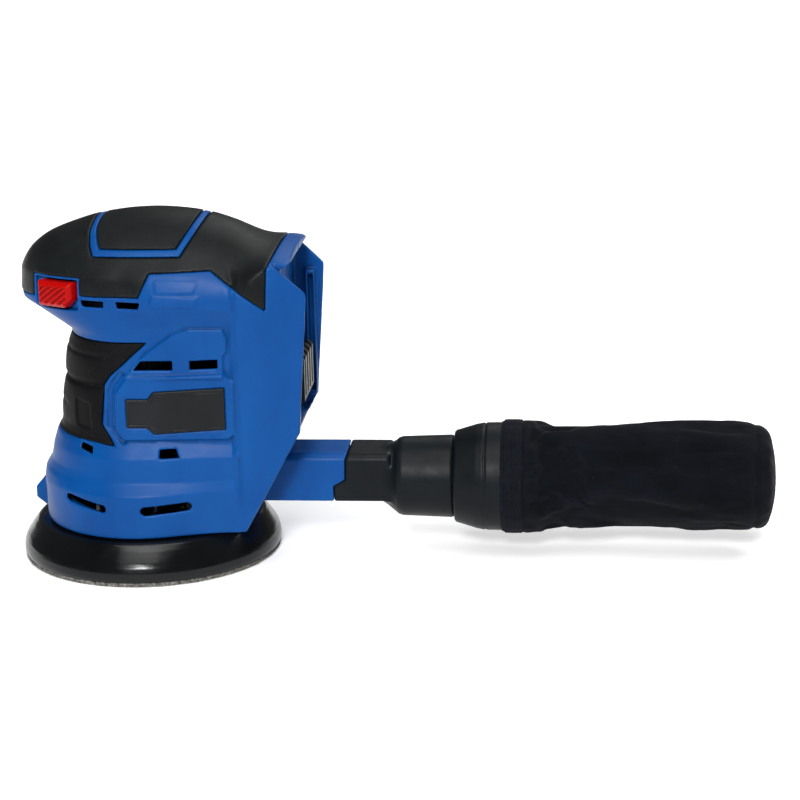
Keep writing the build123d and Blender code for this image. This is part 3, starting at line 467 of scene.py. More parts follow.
def new_mesh(name, points, faces):
    """A smooth-shaded object from points in millimetres and faces of equal size."""
    mesh = bpy.data.meshes.new(name)
    faces = np.asarray(faces, np.int32)
    corners = faces.shape[1]
    mesh.vertices.add(len(points))
    mesh.vertices.foreach_set("co", (np.asarray(points) * MM).astype(np.float32).ravel())
    mesh.loops.add(faces.size)
    mesh.loops.foreach_set("vertex_index", faces.ravel())
    mesh.polygons.add(len(faces))
    mesh.polygons.foreach_set("loop_start", np.arange(0, faces.size, corners, dtype=np.int32))
    mesh.polygons.foreach_set("use_smooth", np.ones(len(faces), bool))
    mesh.update(calc_edges=True)
    mesh.validate()
    obj = bpy.data.objects.new(name, mesh)
    bpy.context.scene.collection.objects.link(obj)
    return obj


def hand_over(obj, body, material, nodes=()):
    """Gives a finished piece its body and material, and hides the CAD nodes it stands for."""
    obj.data.materials.clear()
    obj.data.materials.append(material)
    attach(obj, body)
    if nodes:
        corners = [box_mm(node) for node in nodes]
        low = np.min([low for low, high in corners], 0)
        high = np.max([high for low, high in corners], 0)
        points = np.array([vertex.co for vertex in obj.data.vertices]) / MM
        stray = max(np.max(low - points.min(0)), np.max(points.max(0) - high))
        if stray > CAD_MARGIN:
            raise ValueError(f"{obj.name} reaches {stray:.1f} mm outside its CAD node")
        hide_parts(*nodes)
    return obj


# ------------------------------------------------------------------ materials
def linear(r, g, b):
    """An sRGB colour of 0 to 255 as a linear RGBA colour."""
    parts = [c / 255 for c in (r, g, b)]
    parts = [c / 12.92 if c <= 0.04045 else ((c + 0.055) / 1.055) ** 2.4 for c in parts]
    return (*parts, 1.0)


class Finish:
    """A procedural material under construction."""

    def __init__(self, name, **sockets):
        self.material = bpy.data.materials.new(name)
        self.material.use_nodes = True
        self.tree = self.material.node_tree
        self.shader = self.tree.nodes["Principled BSDF"]
        for socket, value in sockets.items():
            self.shader.inputs[socket.replace("_", " ")].default_value = value
        self.place = self.tree.nodes.new("ShaderNodeTexCoord").outputs["Object"]

    def node(self, kind, settings=None, **inputs):
        """A new node, its inputs named by socket or as i0, i1 and on by number."""
        made = self.tree.nodes.new("ShaderNode" + kind)
        for name, value in (settings or {}).items():
            setattr(made, name, value)
        for name, value in inputs.items():
            key = int(name[1:]) if name[1:].isdigit() else name.replace("_", " ")
            self.feed(made.inputs[key], value)
        return made

    def feed(self, socket, value):
        """Links a socket to another, or sets its constant."""
        if isinstance(value, bpy.types.NodeSocket):
            self.tree.links.new(value, socket)
        else:
            socket.default_value = value

    def noise(self, size_mm, detail=3.0, stretch=(1, 1, 1)):
        """Cloudy noise with patches of about a given size."""
        mapping = self.node("Mapping", Vector=self.place, Scale=stretch)
        made = self.node("TexNoise", Vector=mapping.outputs[0], Scale=1 / (size_mm * MM),
                         Detail=detail, Roughness=0.55)
        return made.outputs[0]

    def cells(self, size_mm):
        """Rounded pebbles of about a given size."""
        made = self.node("TexVoronoi", {"feature": "SMOOTH_F1"}, Vector=self.place,
                         Scale=1 / (size_mm * MM), Smoothness=0.5)
        return made.outputs[0]

    def span(self, value, low, high, start=0.3, end=0.7):
        """A value from start to end, spread from low to high."""
        made = self.node("MapRange", Value=value, From_Min=start, From_Max=end, To_Min=low,
                         To_Max=high)
        return made.outputs[0]

    def sum(self, a, b, kind="ADD"):
        """Two values added, or joined by another sum."""
        return self.node("Math", {"operation": kind}, i0=a, i1=b).outputs[0]

    def mix(self, share, under, over):
        """One colour over another, by a share of 0 to 1."""
        made = self.node("Mix", {"data_type": "RGBA"}, i0=share, i6=under, i7=over)
        return made.outputs[2]

    def colours(self, value, *stops):
        """A colour ramp through (place, colour) stops."""
        blend = self.node("ValToRGB", Fac=value)
        elements = blend.color_ramp.elements
        while len(elements) < len(stops):
            elements.new(0.5)
        for element, (place, colour) in zip(elements, stops):
            element.position = place
            element.color = colour
        return blend.outputs[0]

    def wear_and_painted_shade(self, colour, edge, amount, start=0.52, end=0.62):
        """Lighter colour for wear on sharp convex edges, and painted shade in hollows."""
        bend = self.tree.nodes.new("ShaderNodeNewGeometry").outputs["Pointiness"]
        share = self.span(bend, 0.0, amount, start, end)
        broken = self.sum(share, self.span(self.noise(1.6), 0.4, 1.3), "MULTIPLY")
        # painted shade: a dark blue is mixed in where the surface is hollow, as shade in creases
        painted_crease_shade = self.span(bend, 0.6, 0.0, 0.43, 0.49)
        return self.mix(painted_crease_shade, self.mix(broken, colour, edge), linear(3, 9, 18))

    def surface(self, colour, rough, height=None, depth_mm=0.05, strength=0.5):
        """The finished material, with relief where a height is given."""
        self.feed(self.shader.inputs["Base Color"], colour)
        self.feed(self.shader.inputs["Roughness"], rough)
        if height is not None:
            bump = self.node("Bump", Strength=strength, Distance=depth_mm * MM, Height=height)
            self.feed(self.shader.inputs["Normal"], bump.outputs[0])
        return self.material


def plastic(name, dark, light, edge, rough=(0.36, 0.46), grain=0.8, depth=0.03, wear=0.35,
            **sockets):
    """Moulded plastic: spark-eroded grain, faint flow marks, wear-paled edges, painted shade in
    hollows.
    """
    made = Finish(name, **sockets)
    flow = made.noise(28, 4, (1, 1, 0.6))
    colour = made.colours(flow, (0.3, linear(*dark)), (0.7, linear(*light)))
    # painted shade: besides paler edges from wear, this darkens the hollows of the plastic
    colour = made.wear_and_painted_shade(colour, linear(*edge), wear)
    sheen = made.span(made.noise(9, 5), *rough)
    height = made.sum(made.cells(grain), made.span(made.noise(grain / 2, 2), 0, 0.6))
    return made.surface(colour, sheen, height, depth)


def rubber(name, dark, light, rough=(0.46, 0.6), grain=0.7, depth=0.05, dust=(80, 82, 80),
           blotch=17, specular=0.1):
    """Soft overmould: fine leathery grain, satin patches where hands polish it, some dust."""
    made = Finish(name, Specular_IOR_Level=specular)
    patches = made.noise(blotch, 5)
    colour = made.colours(patches, (0.3, linear(*dark)), (0.72, linear(*light)))
    specks = made.span(made.noise(1.1, 2), 0.0, 0.09, 0.6, 0.8)
    sheen = made.span(made.noise(12, 5), *rough)
    dusty = made.mix(specks, colour, linear(*dust))
    return made.surface(dusty, sheen, made.cells(grain), depth, 0.6)


def metal(name, dark, light, rough=(0.28, 0.42), stretch=(1, 1, 12), size=4.0):
    """Drawn or turned metal: fine streaks and uneven tarnish."""
    made = Finish(name, Metallic=1.0)
    streak = made.noise(size, 4, stretch)
    tarnish = made.noise(11, 5)
    colour = made.colours(made.sum(streak, tarnish, "MULTIPLY"), (0.12, linear(*dark)),
                          (0.42, linear(*light)))
    return made.surface(colour, made.span(tarnish, *rough), streak, 0.02, 0.4)


CLOTH_RADIUS = 26.0


def cloth(name, dark, light, pitch=0.9):
    """Plain woven polyester round the bag's own axis: lint, rub-paled folds, painted shade in
    hollows.
    """
    made = Finish(name, Sheen_Weight=0.02, Sheen_Roughness=0.4, Specular_IOR_Level=0.06)
    split = made.node("SeparateXYZ", Vector=made.place).outputs
    above = made.sum(split[2], BAG_AXIS * MM, "SUBTRACT")
    round_way = made.sum(made.sum(split[1], above, "ARCTAN2"), CLOTH_RADIUS * MM, "MULTIPLY")
    turns = 2 * math.pi / (pitch * MM)
    warp = made.node("Math", {"operation": "SINE"}, i0=made.sum(split[0], turns, "MULTIPLY"))
    weft = made.node("Math", {"operation": "SINE"}, i0=made.sum(round_way, turns, "MULTIPLY"))
    weave = made.sum(warp.outputs[0], weft.outputs[0], "MULTIPLY")
    slub = made.noise(2.6, 4, (0.25, 1, 1))
    height = made.sum(made.span(weave, 0, 1, -1, 1), made.span(slub, 0, 0.9))
    tone = made.sum(made.span(made.noise(21, 4), 0.2, 0.8), made.span(slub, -0.15, 0.15))
    colour = made.colours(tone, (0.25, linear(*dark)), (0.8, linear(*light)))
    # painted shade: besides paler fold edges, this darkens the hollows of the cloth
    rubbed_and_painted_shade = made.wear_and_painted_shade(colour, linear(30, 34, 44), 0.4, 0.5, 0.58)
    lint = made.span(made.noise(1.4, 1), 0.0, 0.3, 0.74, 0.8)
    linty = made.mix(lint, rubbed_and_painted_shade, linear(48, 52, 58))
    return made.surface(linty, made.span(slub, 0.72, 0.9), height, 0.16, 0.7)


BLUE = plastic("case_blue", (0, 59, 122), (4, 70, 135), (34, 102, 182),
               Specular_IOR_Level=0.12)
SOFT_BLACK = rubber("soft_black", (13, 15, 16), (23, 26, 27), rough=(0.34, 0.48))
PALM_BLACK = rubber("palm_black", (15, 17, 18), (24, 27, 28), rough=(0.4, 0.54), grain=1.1)
GRIP_BLACK = rubber("grip_black", (9, 9, 11), (17, 17, 19), rough=(0.5, 0.66), grain=0.9,
                    specular=0.06)
HARD_BLACK = plastic("hard_black", (8, 12, 15), (15, 20, 24), (46, 50, 56),
                     rough=(0.34, 0.5), grain=0.9, depth=0.04, wear=0.25,
                     Specular_IOR_Level=0.12)
PLATE_BLACK = plastic("plate_black", (16, 18, 20), (24, 26, 29), (60, 62, 66),
                      rough=(0.3, 0.42), grain=0.5, depth=0.01, wear=0.2,
                      Specular_IOR_Level=0.14)
PAD_BLACK = plastic("pad_black", (6, 8, 9), (12, 14, 16), (40, 42, 46), rough=(0.12, 0.26),
                    grain=1.6, depth=0.012, wear=0.2, Specular_IOR_Level=0.24)
SWITCH_RED = plastic("switch_red", (150, 1, 0), (170, 5, 2), (226, 60, 44),
                     rough=(0.34, 0.46), grain=0.6, depth=0.02, Specular_IOR_Level=0.1)
STEEL = metal("bearing_steel", (120, 122, 126), (206, 208, 212), (0.2, 0.3))
ZINC = metal("zinc_steel", (126, 126, 130), (214, 214, 210), (0.26, 0.42), (1, 8, 1))
BLACK_STEEL = metal("black_steel", (30, 30, 33), (70, 70, 74), (0.34, 0.5))
ALLOY = metal("cast_alloy", (130, 132, 134), (196, 198, 200), (0.36, 0.52), (1, 1, 1), 1.4)
COPPER = metal("copper_wire", (128, 58, 26), (206, 118, 70), (0.3, 0.45), (1, 1, 6), 1.2)
BRASS = metal("contact_brass", (92, 70, 36), (150, 124, 78), (0.26, 0.4))
CARBON = plastic("carbon", (22, 22, 23), (44, 44, 46), (80, 80, 82), rough=(0.4, 0.6))
BOARD = plastic("board_green", (14, 70, 38), (26, 104, 58), (120, 160, 110), grain=1.4)
LEAD_RED = plastic("lead_red", (150, 16, 12), (188, 30, 22), (226, 92, 80))
MAGNET = metal("magnet_grey", (58, 58, 62), (98, 98, 102), (0.4, 0.6), (1, 1, 1), 1.0)
BAG_CLOTH = cloth("bag_cloth", (4, 6, 9), (10, 13, 19))
CUFF_CLOTH = cloth("cuff_elastic", (4, 5, 8), (12, 13, 18), pitch=1.5)
HOOK = rubber("hook_fibre", (34, 34, 33), (164, 161, 155), rough=(0.8, 0.95), grain=0.7,
              depth=0.5, dust=(226, 223, 216), blotch=1.3)
CAD_FINISHES = {
    "case_blue": BLUE, "soft_black": SOFT_BLACK, "grip_black": GRIP_BLACK,
    "hard_black": HARD_BLACK, "plate_black": PLATE_BLACK, "pad_black": PAD_BLACK,
    "hook_fibre": HOOK, "bag_cloth": BAG_CLOTH, "cuff_elastic": CUFF_CLOTH,
    "switch_red": SWITCH_RED, "bearing_steel": STEEL, "zinc_steel": ZINC,
    "black_steel": BLACK_STEEL, "cast_alloy": ALLOY, "copper_wire": COPPER,
    "contact_brass": BRASS, "carbon": CARBON, "board_green": BOARD, "lead_red": LEAD_RED,
    "magnet_grey": MAGNET,
}

# ------------------------------------------------------------------ other pieces' forms
DUCT_SEAM = [(87.9, DUCT_LOW - 4), (87.9, 33.8), (93.2, 37.0), (93.4, 46.2), (94.4, DUCT_HIGH),
             (94.4, DUCT_HIGH + 4)]


def plate(x, y, z):
    """The blank stepped plate that sits proud of both flanks."""
    form = casing(x, y, z)
    edge = outline(x, z, LABEL) + SEAM
    line = 0.22 * np.exp(-((edge + 1.5) / 0.28) ** 2)
    face = meet(form - 0.5 + line, edge, 0.7)
    return np.maximum(face, -(form + 0.7))


def duct_box(y, z, half, low, high, corner, round_by):
    """A rectangular section with chamfered top corners."""
    side = np.abs(y)
    field = meet(meet(side - half, z - high, round_by), low - z, round_by)
    return meet(field, ((side - half) + (z - high) + corner) * DIAGONAL, round_by)


def dust_duct(x, y, z):
    """The blue outlet, cut off at its stepped seam."""
    outer = duct_box(y, z, DUCT_HALF, DUCT_LOW, DUCT_HIGH, 2.4, 0.9)
    end = outline(x, z, DUCT_SEAM + [(42.5, DUCT_HIGH + 4), (42.5, DUCT_LOW - 4)])
    bore = duct_box(y, z, DUCT_HALF - 2.2, DUCT_LOW + 2.2, DUCT_HIGH - 2.2, 0.5, 0.5)
    return cut(meet(outer, end, 0.5), bore, 0.4)


def turned_x(x, y, z, profile):
    """A form turned about the bag's axis from a closed (station, radius) outline."""
    return outline(x, np.sqrt(y * y + (z - BAG_AXIS) ** 2), profile)


def dust_adapter(x, y, z):
    """From the duct to a round spigot, with a plug that fills the duct."""
    outer = duct_box(y, z, DUCT_HALF, DUCT_LOW, DUCT_HIGH, 2.4, 0.9)
    seam = [(a + 0.3, b) for a, b in DUCT_SEAM]
    body = meet(outer, outline(x, z, seam + [(114, DUCT_HIGH + 4), (114, DUCT_LOW - 4)]), 1.2)
    cone = [(108.4, -4), (108.4, 11), (112.6, 13.8), (117.6, 17.9), (119.6, 18.5),
            (142.2, 19.3), (143.5, 18.7), (143.5, -4)]
    body = join(body, turned_x(x, y, z, cone), 3.0)
    spigot = duct_box(y, z, 11.55, DUCT_LOW + 2.45, DUCT_HIGH - 2.45, 0.5, 0.5)
    body = join(body, meet(spigot, np.abs(x - 82) - 10, 0.4), 0.3)
    channel = duct_box(y, z, 9.95, DUCT_LOW + 4.05, DUCT_HIGH - 4.05, 0.4, 0.4)
    body = cut(body, np.maximum(channel, x - 113), 0.4)
    bore = [(110, -4), (110, 9.6), (111, 10.2), (120, 17.1), (124, 17.4), (146, 17.4),
            (146, -4)]
    return cut(body, turned_x(x, y, z, bore), 0.4)


def bag_collar(x, y, z):
    """The ring that carries the bag on the adapter's spigot."""
    wall = [(129, 15.3), (129, 17.34), (143.8, 17.34), (143.8, 20.7), (144.6, 21.4), (146, 21.8),
            (149, 22.7), (154, 24.2), (157.2, 24.8), (157.7, 24.5), (158.3, 24.5),
            (158.8, 24.9), (165.6, 25.0), (165.9, 23.8), (175.4, 23.7), (176, 23.2),
            (176, 21.9), (152, 21.9), (146, 15.3)]
    return meet(turned_x(x, y, z, wall) - 0.15, 129 - x, 0.2)


HOLE_CIRCLE, HOLE_RADIUS = 32.5, 5.0


def pad_holes(x, y):
    """The eight dust holes, by folding the pad into one eighth."""
    turn = np.arctan2(y, x)
    turn = (turn + math.pi / 8) % (math.pi / 4) - math.pi / 8
    radius = np.sqrt(x * x + y * y)
    along, across = radius * np.cos(turn) - HOLE_CIRCLE, radius * np.sin(turn)
    return np.sqrt(along**2 + across**2) - HOLE_RADIUS


def backing_pad(x, y, z):
    """The pad, with its hub recess and dust holes."""
    profile = [(2.6, 12), (15, 12), (15, 18.4), (51.6, 18.4), (53.2, 17.7), (55.2, 15.4),
               (57.0, 13.0), (58.5, 10.9), (59.6, 8.9), (60.3, 6.7), (60.5, 4.6), (60.3, 3.0),
               (59.7, 2.1), (9, 2.1), (9, 10), (2.6, 10)]
    field = outline(np.sqrt(x * x + y * y), z, profile) - 0.12
    return cut(meet(field, 2.0 - z, 0.3), pad_holes(x, y), 0.5)


def hook_face(x, y, z):
    """The hook disc, with an uneven nap."""
    radius = np.sqrt(x * x + y * y)
    nap = 0.12 * np.sin(x * 5.1 + 2 * np.sin(y * 3.7)) * np.sin(y * 4.7 + 2 * np.sin(x * 2.9))
    disc = meet(radius - 59.7 - nap, np.maximum(z - 1.95, 0.12 - z + nap), 0.5)
    return cut(cut(disc, radius - 9, 0.3), pad_holes(x, y), 0.3)


RIB_SLANT, RIB_PITCH = 0.61, 2.2


def switch_button(x, y, z):
    """The bevelled slide with slanted ribs, and its stem."""
    along, up, out = switch_frame(x, y, z)
    cap = bar((along, up, out), (-7.2, -5.2, -3.0), (12.0, 6.4, 4.2), 0.9)
    across, over = np.abs(along - 2.4), np.abs(up - 0.6)
    for reach, half in ((across, 9.6), (over, 5.8)):
        cap = meet(cap, (reach - half + out - 4.2 + 2.2) * DIAGONAL, 0.6)
    cap = meet(cap, (along - 12.0 - (up + 5.2) + 4.2) * DIAGONAL, 0.7)
    slant = (up * math.cos(RIB_SLANT) - along * math.sin(RIB_SLANT)) / RIB_PITCH
    inside = np.maximum(across - 7.6, over - 3.9)
    ribs = 0.5 * np.clip(np.sin(slant * 2 * math.pi) * 2.2, -1, 1)
    cap = cap + (0.3 + ribs) * ramp(out, 2.6, 3.4) * (1 - ramp(inside, -0.5, 0.3))
    stem = bar((along, up, out), (-4.0, -3.0, -7.5), (4.0, 3.0, -2.0), 0.4)
    return join(cap, stem, 0.3)


# ------------------------------------------------------------------ building the pieces
COARSE = 1.0
MOST_FACES, KEPT_FACES = 99000, 98000
HEAD = ((-57, -43, 120), (82, 43, 163))
LEFT = ((-57, -51, 18.5), (82, 0.4, 163))
RIGHT = ((-57, -0.4, 18.5), (82, 51, 163))
# Name, field, low and high corner, cell, body, slot, finish and the nodes it stands for
FIELDS = [
    ("case_left", lambda x, y, z: housing(x, y, z, -1), *LEFT, 0.75, "housing", "case_blue",
     BLUE, ["housing_left"]),
    ("case_right", lambda x, y, z: housing(x, y, z, 1), *RIGHT, 0.75, "housing",
     "case_blue", BLUE, ["housing_right"]),
    ("crown_skin", top_grip, *HEAD, 0.7, "housing", "soft_black", SOFT_BLACK, ["top_grip"]),
    ("crown_band", top_trim, (-25, -42, 142), (44, 42, 164), 0.6, "housing", "case_blue", BLUE,
     ["top_trim"]),
    ("palm_cushion", palm_pad, (-20, -41, 145), (40, 41, 164), 0.7, "housing", "soft_black",
     PALM_BLACK, ["palm_pad"]),
    ("neck_skin", front_grip, (-46, -43, 58), (12, 43, 110), 0.65, "housing", "grip_black",
     GRIP_BLACK, ["front_grip"]),
    ("side_plate_near", plate, (-3, -44, 65), (46, -36, 91), 0.45, "housing", "plate_black",
     PLATE_BLACK, ["label_plate"]),
    ("side_plate_far", plate, (-3, 36, 65), (46, 44, 91), 0.45, "housing", "plate_black",
     PLATE_BLACK, ["rating_plate"]),
    ("outlet_duct", dust_duct, (42, -15, 25), (93, 15, 49), 0.55, "housing", "case_blue", BLUE,
     ["dust_duct"]),
    ("adapter_tube", dust_adapter, (71, -21, 14), (145, 21, 56), 0.6, "adapter", "hard_black",
     HARD_BLACK, ["dust_adapter"]),
    ("collar", bag_collar, (128, -26, 9), (177, 26, 61), 0.55, "bag", "hard_black",
     HARD_BLACK, ["bag_collar"]),
    ("pad_disc", backing_pad, (-63.5, -63.5, 1.5), (63.5, 63.5, 19), 0.8, "pad",
     "pad_black", PAD_BLACK, ["backing_pad"]),
    ("hook_disc", hook_face, (-62.5, -62.5, 0), (62.5, 62.5, 2.2), 0.5, "pad", "hook_fibre",
     HOOK, ["hook_face"]),
    ("slide_button", switch_button, (-46, -43, 121), (-22, -19, 137), 0.35, "switch",
     "switch_red", SWITCH_RED, ["switch_button"]),
]
for name, field, low, high, cell, body, slot_name, finish, nodes in FIELDS:
    points, faces = surface_net(field, low, high, cell * COARSE)
    piece = hand_over(new_mesh(name, points, faces), body, finish, nodes)
    if len(faces) > MOST_FACES:
        piece.modifiers.new("Fewer triangles", "DECIMATE").ratio = KEPT_FACES / len(faces)


# ------------------------------------------------------------------ dust bag
BAG_SHAPE = curve([(160, 24.8), (166, 24.8), (175, 25.2), (180, 25.2), (192, 23.9), (205, 23.5),
                   (229, 23.6), (247, 24.8), (262, 25.2), (273, 25.0), (280, 23.8), (284, 22.4)],
                  blur=2.5)
BAG_OPEN = 165.6
BAG_SHOULDER = 281.0
BAG_END = 290.5
BAG_RINGS = 62
BAG_SIDES = 96
BAG_HELD = 176.0           # the cloth is gripped by the collar up to here
BAG_SLACK = 0.035
BAG_FRAMES = 24
BAG_DRIFT = 2.6            # the furthest a point of the cloth may move
WIRE_GAP = 1.2             # from the wire frame inside the bag to the cloth's outer face
WIRE_TURN = (262.0, 276.0)    # where the wire turns inwards


def bag_grid():
    """Stations and radii of the bag's rings, from its open end over the shoulder to the tip."""
    flat = [(x, BAG_SHAPE(x)) for x in np.linspace(BAG_OPEN, BAG_SHOULDER, BAG_RINGS)]
    last = flat[-1][1]
    turn = np.linspace(0, math.pi / 2, 14)[1:]
    round_end = [(BAG_SHOULDER + (BAG_END - BAG_SHOULDER) * math.sin(t),
                  last * max(math.cos(t), 0.0004) ** 0.72) for t in turn]
    return np.array(flat + round_end)


def ring_angles(rings):
    """The angle round the axis of every point of a number of rings."""
    return np.tile(np.arange(BAG_SIDES) * 2 * math.pi / BAG_SIDES, rings)


def bag_points(rings):
    """Points on (station, radius) rings round the bag's axis."""
    angle = ring_angles(1)
    x = np.repeat(rings[:, :1], BAG_SIDES, 1)
    y = rings[:, 1:] * np.cos(angle)
    z = BAG_AXIS + rings[:, 1:] * np.sin(angle)
    return np.stack([x, y, z], 2).reshape(-1, 3)


def ring_faces(rings):
    """Quads between neighbouring rings of the bag."""
    first = np.arange((rings - 1) * BAG_SIDES).reshape(rings - 1, BAG_SIDES)
    after = np.roll(first, -1, 1)
    return np.stack([first, first + BAG_SIDES, after + BAG_SIDES, after], 2).reshape(-1, 4)


def thicken(obj, name, thickness):
    """Gives an outer skin its thickness, inwards."""
    shell = obj.modifiers.new(name, "SOLIDIFY")
    shell.thickness = thickness * MM
    shell.offset = -1


def lumps(points, size, seed):
    """Smooth repeatable noise of about -1 to 1 at each point."""
    return np.array([noise.noise(Vector(p) / size + Vector((seed, 0, 0))) for p in points])


def cloth_bag(points, faces, held):
    """Lets the bag's cloth buckle: more cloth than the shape needs, blown out lightly."""
    start = new_mesh("bag_start", points, faces)
    pins = start.vertex_groups.new(name="held")
    pins.add([int(i) for i in held], 1.0, "REPLACE")
    cloth_settings = start.modifiers.new("Cloth", "CLOTH").settings
    cloth_settings.quality = 6
    cloth_settings.mass = 0.25
    cloth_settings.tension_stiffness = 25
    cloth_settings.compression_stiffness = 25
    cloth_settings.shear_stiffness = 8
    cloth_settings.bending_stiffness = 0.35
    cloth_settings.use_pressure = True
    cloth_settings.uniform_pressure_force = 1.6
    cloth_settings.shrink_min = -BAG_SLACK
    cloth_settings.vertex_group_mass = "held"
    cloth_settings.effector_weights.gravity = 0
    scene = bpy.context.scene
    for number in range(1, BAG_FRAMES + 1):
        scene.frame_set(number)
    graph = bpy.context.evaluated_depsgraph_get()
    shaped = start.evaluated_get(graph).to_mesh()
    moved = np.empty(len(points) * 3, np.float32)
    shaped.vertices.foreach_get("co", moved)
    bpy.data.objects.remove(start)
    scene.frame_set(1)
    return moved.reshape(-1, 3) / MM


bag_rings = bag_grid()
base = bag_points(bag_rings)
bag_faces = ring_faces(len(bag_rings))
angle = ring_angles(len(bag_rings))
station = base[:, 0]
away = base - np.stack([station, np.zeros_like(station), np.full_like(station, BAG_AXIS)], 1)
away /= np.maximum(np.linalg.norm(away, axis=1), 1e-6)[:, None]
free = ramp(station, BAG_HELD, BAG_HELD + 10) * (1 - 0.6 * ramp(station, 279, 290))
long_way = np.stack([station * 0.35, CLOTH_RADIUS * np.cos(angle), CLOTH_RADIUS * np.sin(angle)], 1)
long_folds = lumps(long_way, 9, 3.1)
broad = lumps(base, 26, 8.4)
seeded = base + away * (free * (0.5 * long_folds + 0.7 * broad))[:, None]
held = np.flatnonzero((station < BAG_HELD) | (station > BAG_END - 0.6))
buckled = cloth_bag(seeded, bag_faces, held)
drift = buckled - base
length = np.maximum(np.linalg.norm(drift, axis=1), 1e-9)
buckled = base + drift * np.minimum(1, BAG_DRIFT / length)[:, None]
neck_folds = np.exp(-((station - 180.5) / 3.4) ** 2) * (
    0.6 + 0.5 * np.sin(angle * 15 + 1.5 * np.sin(angle * 4)))
end_folds = ramp(station, 283, 287) * 0.5 * np.sin(angle * 17 + 1.2 * np.sin(angle * 5))
seam_dip = np.exp(-((station - 281.6) / 0.9) ** 2) * 0.8
buckled = buckled - away * (neck_folds * 0.6 + end_folds + seam_dip)[:, None]

# The cloth stays outside the wire frame along its top and bottom
wire_reach = box_mm("bag_frame")[1][2] - BAG_AXIS
over_wire = wire_reach + WIRE_GAP - 0.2 * buckled[:, 1] ** 2 - 40 * ramp(station, *WIRE_TURN)
height = buckled[:, 2] - BAG_AXIS
buckled[:, 2] = BAG_AXIS + np.sign(height) * meet(np.abs(height), over_wire, 1.0)

dust_bag = new_mesh("bag_fabric", buckled, bag_faces)
smooth = dust_bag.modifiers.new("Subdivision", "SUBSURF")
smooth.levels = smooth.render_levels = 1
thicken(dust_bag, "Cloth thickness", 0.7)
hand_over(dust_bag, "bag", BAG_CLOTH, ["dust_bag"])

CUFF_START, CUFF_MIDDLE, CUFF_END = 166.4, 171.0, 175.6
CUFF_RADIUS = 25.75
CUFF_ROW = 1.15            # from one elastic cord to the next
cuff_stations = np.linspace(CUFF_START, CUFF_END, 60)
cords = 0.28 * np.cos((cuff_stations - CUFF_START) / CUFF_ROW * 2 * math.pi)
hems = 0.9 * np.abs((cuff_stations - CUFF_MIDDLE) / 4.6) ** 8
cuff_rings = np.stack([cuff_stations, CUFF_RADIUS + cords - hems], 1)
cuff_points = bag_points(cuff_rings)
cuff_angle = ring_angles(len(cuff_rings))
gathers = 0.12 * np.sin(cuff_angle * 24)
cuff_points[:, 1] += gathers * np.cos(cuff_angle)
cuff_points[:, 2] += gathers * np.sin(cuff_angle)
cuff = new_mesh("cuff_band", cuff_points, ring_faces(len(cuff_rings)))
thicken(cuff, "Elastic thickness", 0.6)
hand_over(cuff, "bag", CUFF_CLOTH, ["bag_cuff"])

# ------------------------------------------------------------------ hook fibres
rng = np.random.default_rng(5)
FIBRES = 9000
FIBRE_HALF = 0.055         # half of a fibre's width
turn = rng.uniform(0, 2 * math.pi, FIBRES)
reach = 59.2 + rng.uniform(0, 0.6, FIBRES)
level = rng.uniform(0.35, 1.75, FIBRES)
lean = turn + rng.normal(0, 0.75, FIBRES)
size = rng.uniform(0.5, 1.25, FIBRES)
root = np.stack([reach * np.cos(turn), reach * np.sin(turn), level], 1)
lie = np.stack([np.cos(lean), np.sin(lean), rng.normal(-0.1, 0.35, FIBRES)], 1)
tip = root + lie * size[:, None]
tip[:, 2] = np.clip(tip[:, 2], 0.06, 1.9)
across = np.stack([-np.sin(lean), np.cos(lean), rng.normal(0, 0.5, FIBRES)], 1) * FIBRE_HALF
middle = (root + tip) / 2 + rng.normal(0, 0.1, (FIBRES, 3))
strands = np.stack([root - across, root + across, middle + across * 0.8, tip,
                    middle - across * 0.8], 1).reshape(-1, 3)
first = np.arange(FIBRES) * 5
fibre_faces = np.concatenate([
    np.stack([first, first + 1, first + 2], 1), np.stack([first, first + 2, first + 4], 1),
    np.stack([first + 4, first + 2, first + 3], 1)])
hand_over(new_mesh("hook_fibres", strands, fibre_faces), "pad", HOOK)

# ------------------------------------------------------------------ finishes of the CAD nodes
slots = {part["node"]: part["material_slot"] for part in frame["record"]["subparts"]}
for name, obj in frame["nodes"].items():
    if obj.hide_render:
        continue
    obj.data.materials.clear()
    obj.data.materials.append(CAD_FINISHES[slots[name]])

# ------------------------------------------------------------------ floor, lights and camera
scene = bpy.context.scene
GROUND = 14.0              # half of the floor's side, in metres
FLOOR_CELLS = 32
FLOOR_LEVEL = -0.02
floor_side = (np.arange(FLOOR_CELLS + 1) / FLOOR_CELLS - 0.5) * 2 * GROUND / MM
floor_points = [(px, py, FLOOR_LEVEL) for py in floor_side for px in floor_side]
row = FLOOR_CELLS + 1
floor_faces = [(r * row + c, r * row + c + 1, (r + 1) * row + c + 1, (r + 1) * row + c)
               for r in range(FLOOR_CELLS) for c in range(FLOOR_CELLS)]
floor = new_mesh("floor", np.array(floor_points), floor_faces)
floor_finish = Finish("floor_paper", Specular_IOR_Level=0.1, Emission_Strength=0.3,
                      Emission_Color=(1, 1, 1, 1))
floor.data.materials.append(floor_finish.surface(
    floor_finish.colours(floor_finish.noise(60, 3), (0.3, linear(246, 246, 246)),
                         (0.7, linear(250, 250, 250))),
    floor_finish.span(floor_finish.noise(20, 3), 0.6, 0.7)))

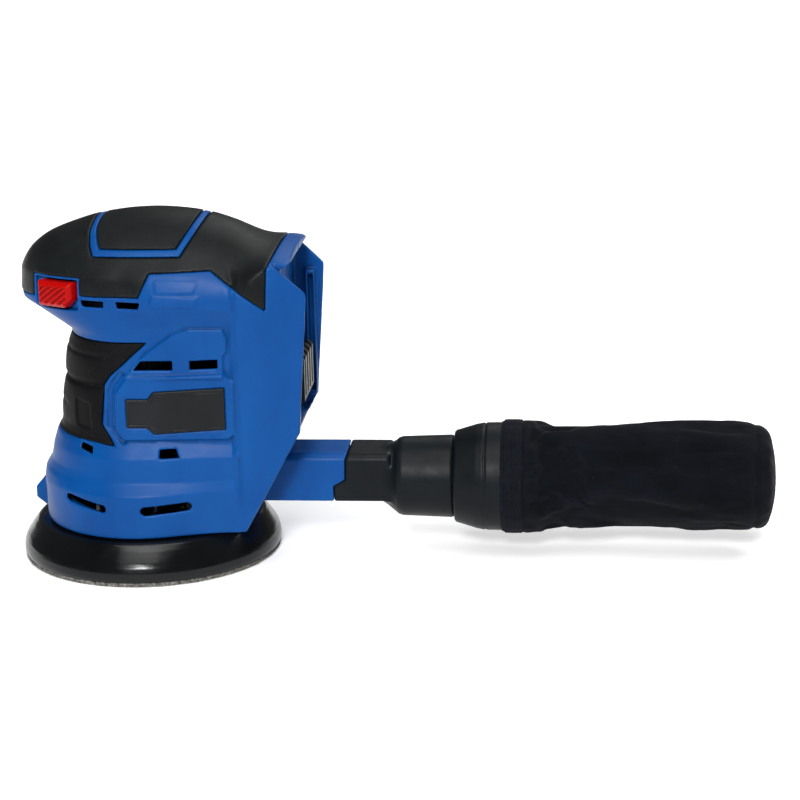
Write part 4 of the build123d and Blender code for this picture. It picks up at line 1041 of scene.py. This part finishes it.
world = bpy.data.worlds.new("studio")
world.use_nodes = True
background = world.node_tree.nodes["Background"].inputs
background["Color"].default_value = (1, 1, 1, 1)
background["Strength"].default_value = 0.1
scene.world = world


def hang(name, light, direction):
    """Puts a light into the scene, shining along a direction."""
    lamp = bpy.data.objects.new(name, light)
    lamp.rotation_euler = Vector(direction).to_track_quat("-Z", "Y").to_euler()
    scene.collection.objects.link(lamp)
    return lamp


def softbox(name, where, target, size, power):
    """A rectangular soft light at a place, aimed at a target."""
    light = bpy.data.lights.new(name, "AREA")
    light.shape = "RECTANGLE"
    light.size, light.size_y = size
    light.energy = power
    hang(name, light, Vector(target) - Vector(where)).location = where


def sun(name, direction, power, spread):
    """Even light over the whole floor, soft by its spread in degrees."""
    light = bpy.data.lights.new(name, "SUN")
    light.energy = power
    light.angle = math.radians(spread)
    hang(name, light, direction)


AIM = (0.09, 0.0, 0.08)
sun("sky", (0.0, 0.25, -1.0), 1.5, 40)
sun("front", (0.04, 1.0, -0.6), 2.6, 12)
softbox("key", (-0.05, -0.6, 0.85), AIM, (0.5, 0.35), 1.6)
softbox("edge", (0.9, 0.7, 0.9), AIM, (0.8, 0.3), 6.0)
sun("back", (-0.25, -1.0, -0.9), 0.55, 40)

TURN, DROP, ROLL = 0.0860, 0.2680, -0.020
CAMERA_PLACE = (0.201656, -0.964303, 0.337313)
LENS_MM = 97.59
forward = Vector((-math.sin(TURN) * math.cos(DROP), math.cos(TURN) * math.cos(DROP),
                  -math.sin(DROP)))
level_right = Vector((math.cos(TURN), math.sin(TURN), 0))
level_up = level_right.cross(forward)
right = math.cos(ROLL) * level_right + math.sin(ROLL) * level_up
upward = -math.sin(ROLL) * level_right + math.cos(ROLL) * level_up
camera_data = bpy.data.cameras.new("camera")
camera_data.sensor_width = 36
camera_data.lens = LENS_MM
camera_data.clip_start = 0.01
camera = bpy.data.objects.new("camera", camera_data)
axes = Matrix((right, upward, -forward)).transposed().to_4x4()
camera.matrix_world = Matrix.Translation(CAMERA_PLACE) @ axes
scene.collection.objects.link(camera)
scene.camera = camera
scene.view_settings.view_transform = "Standard"
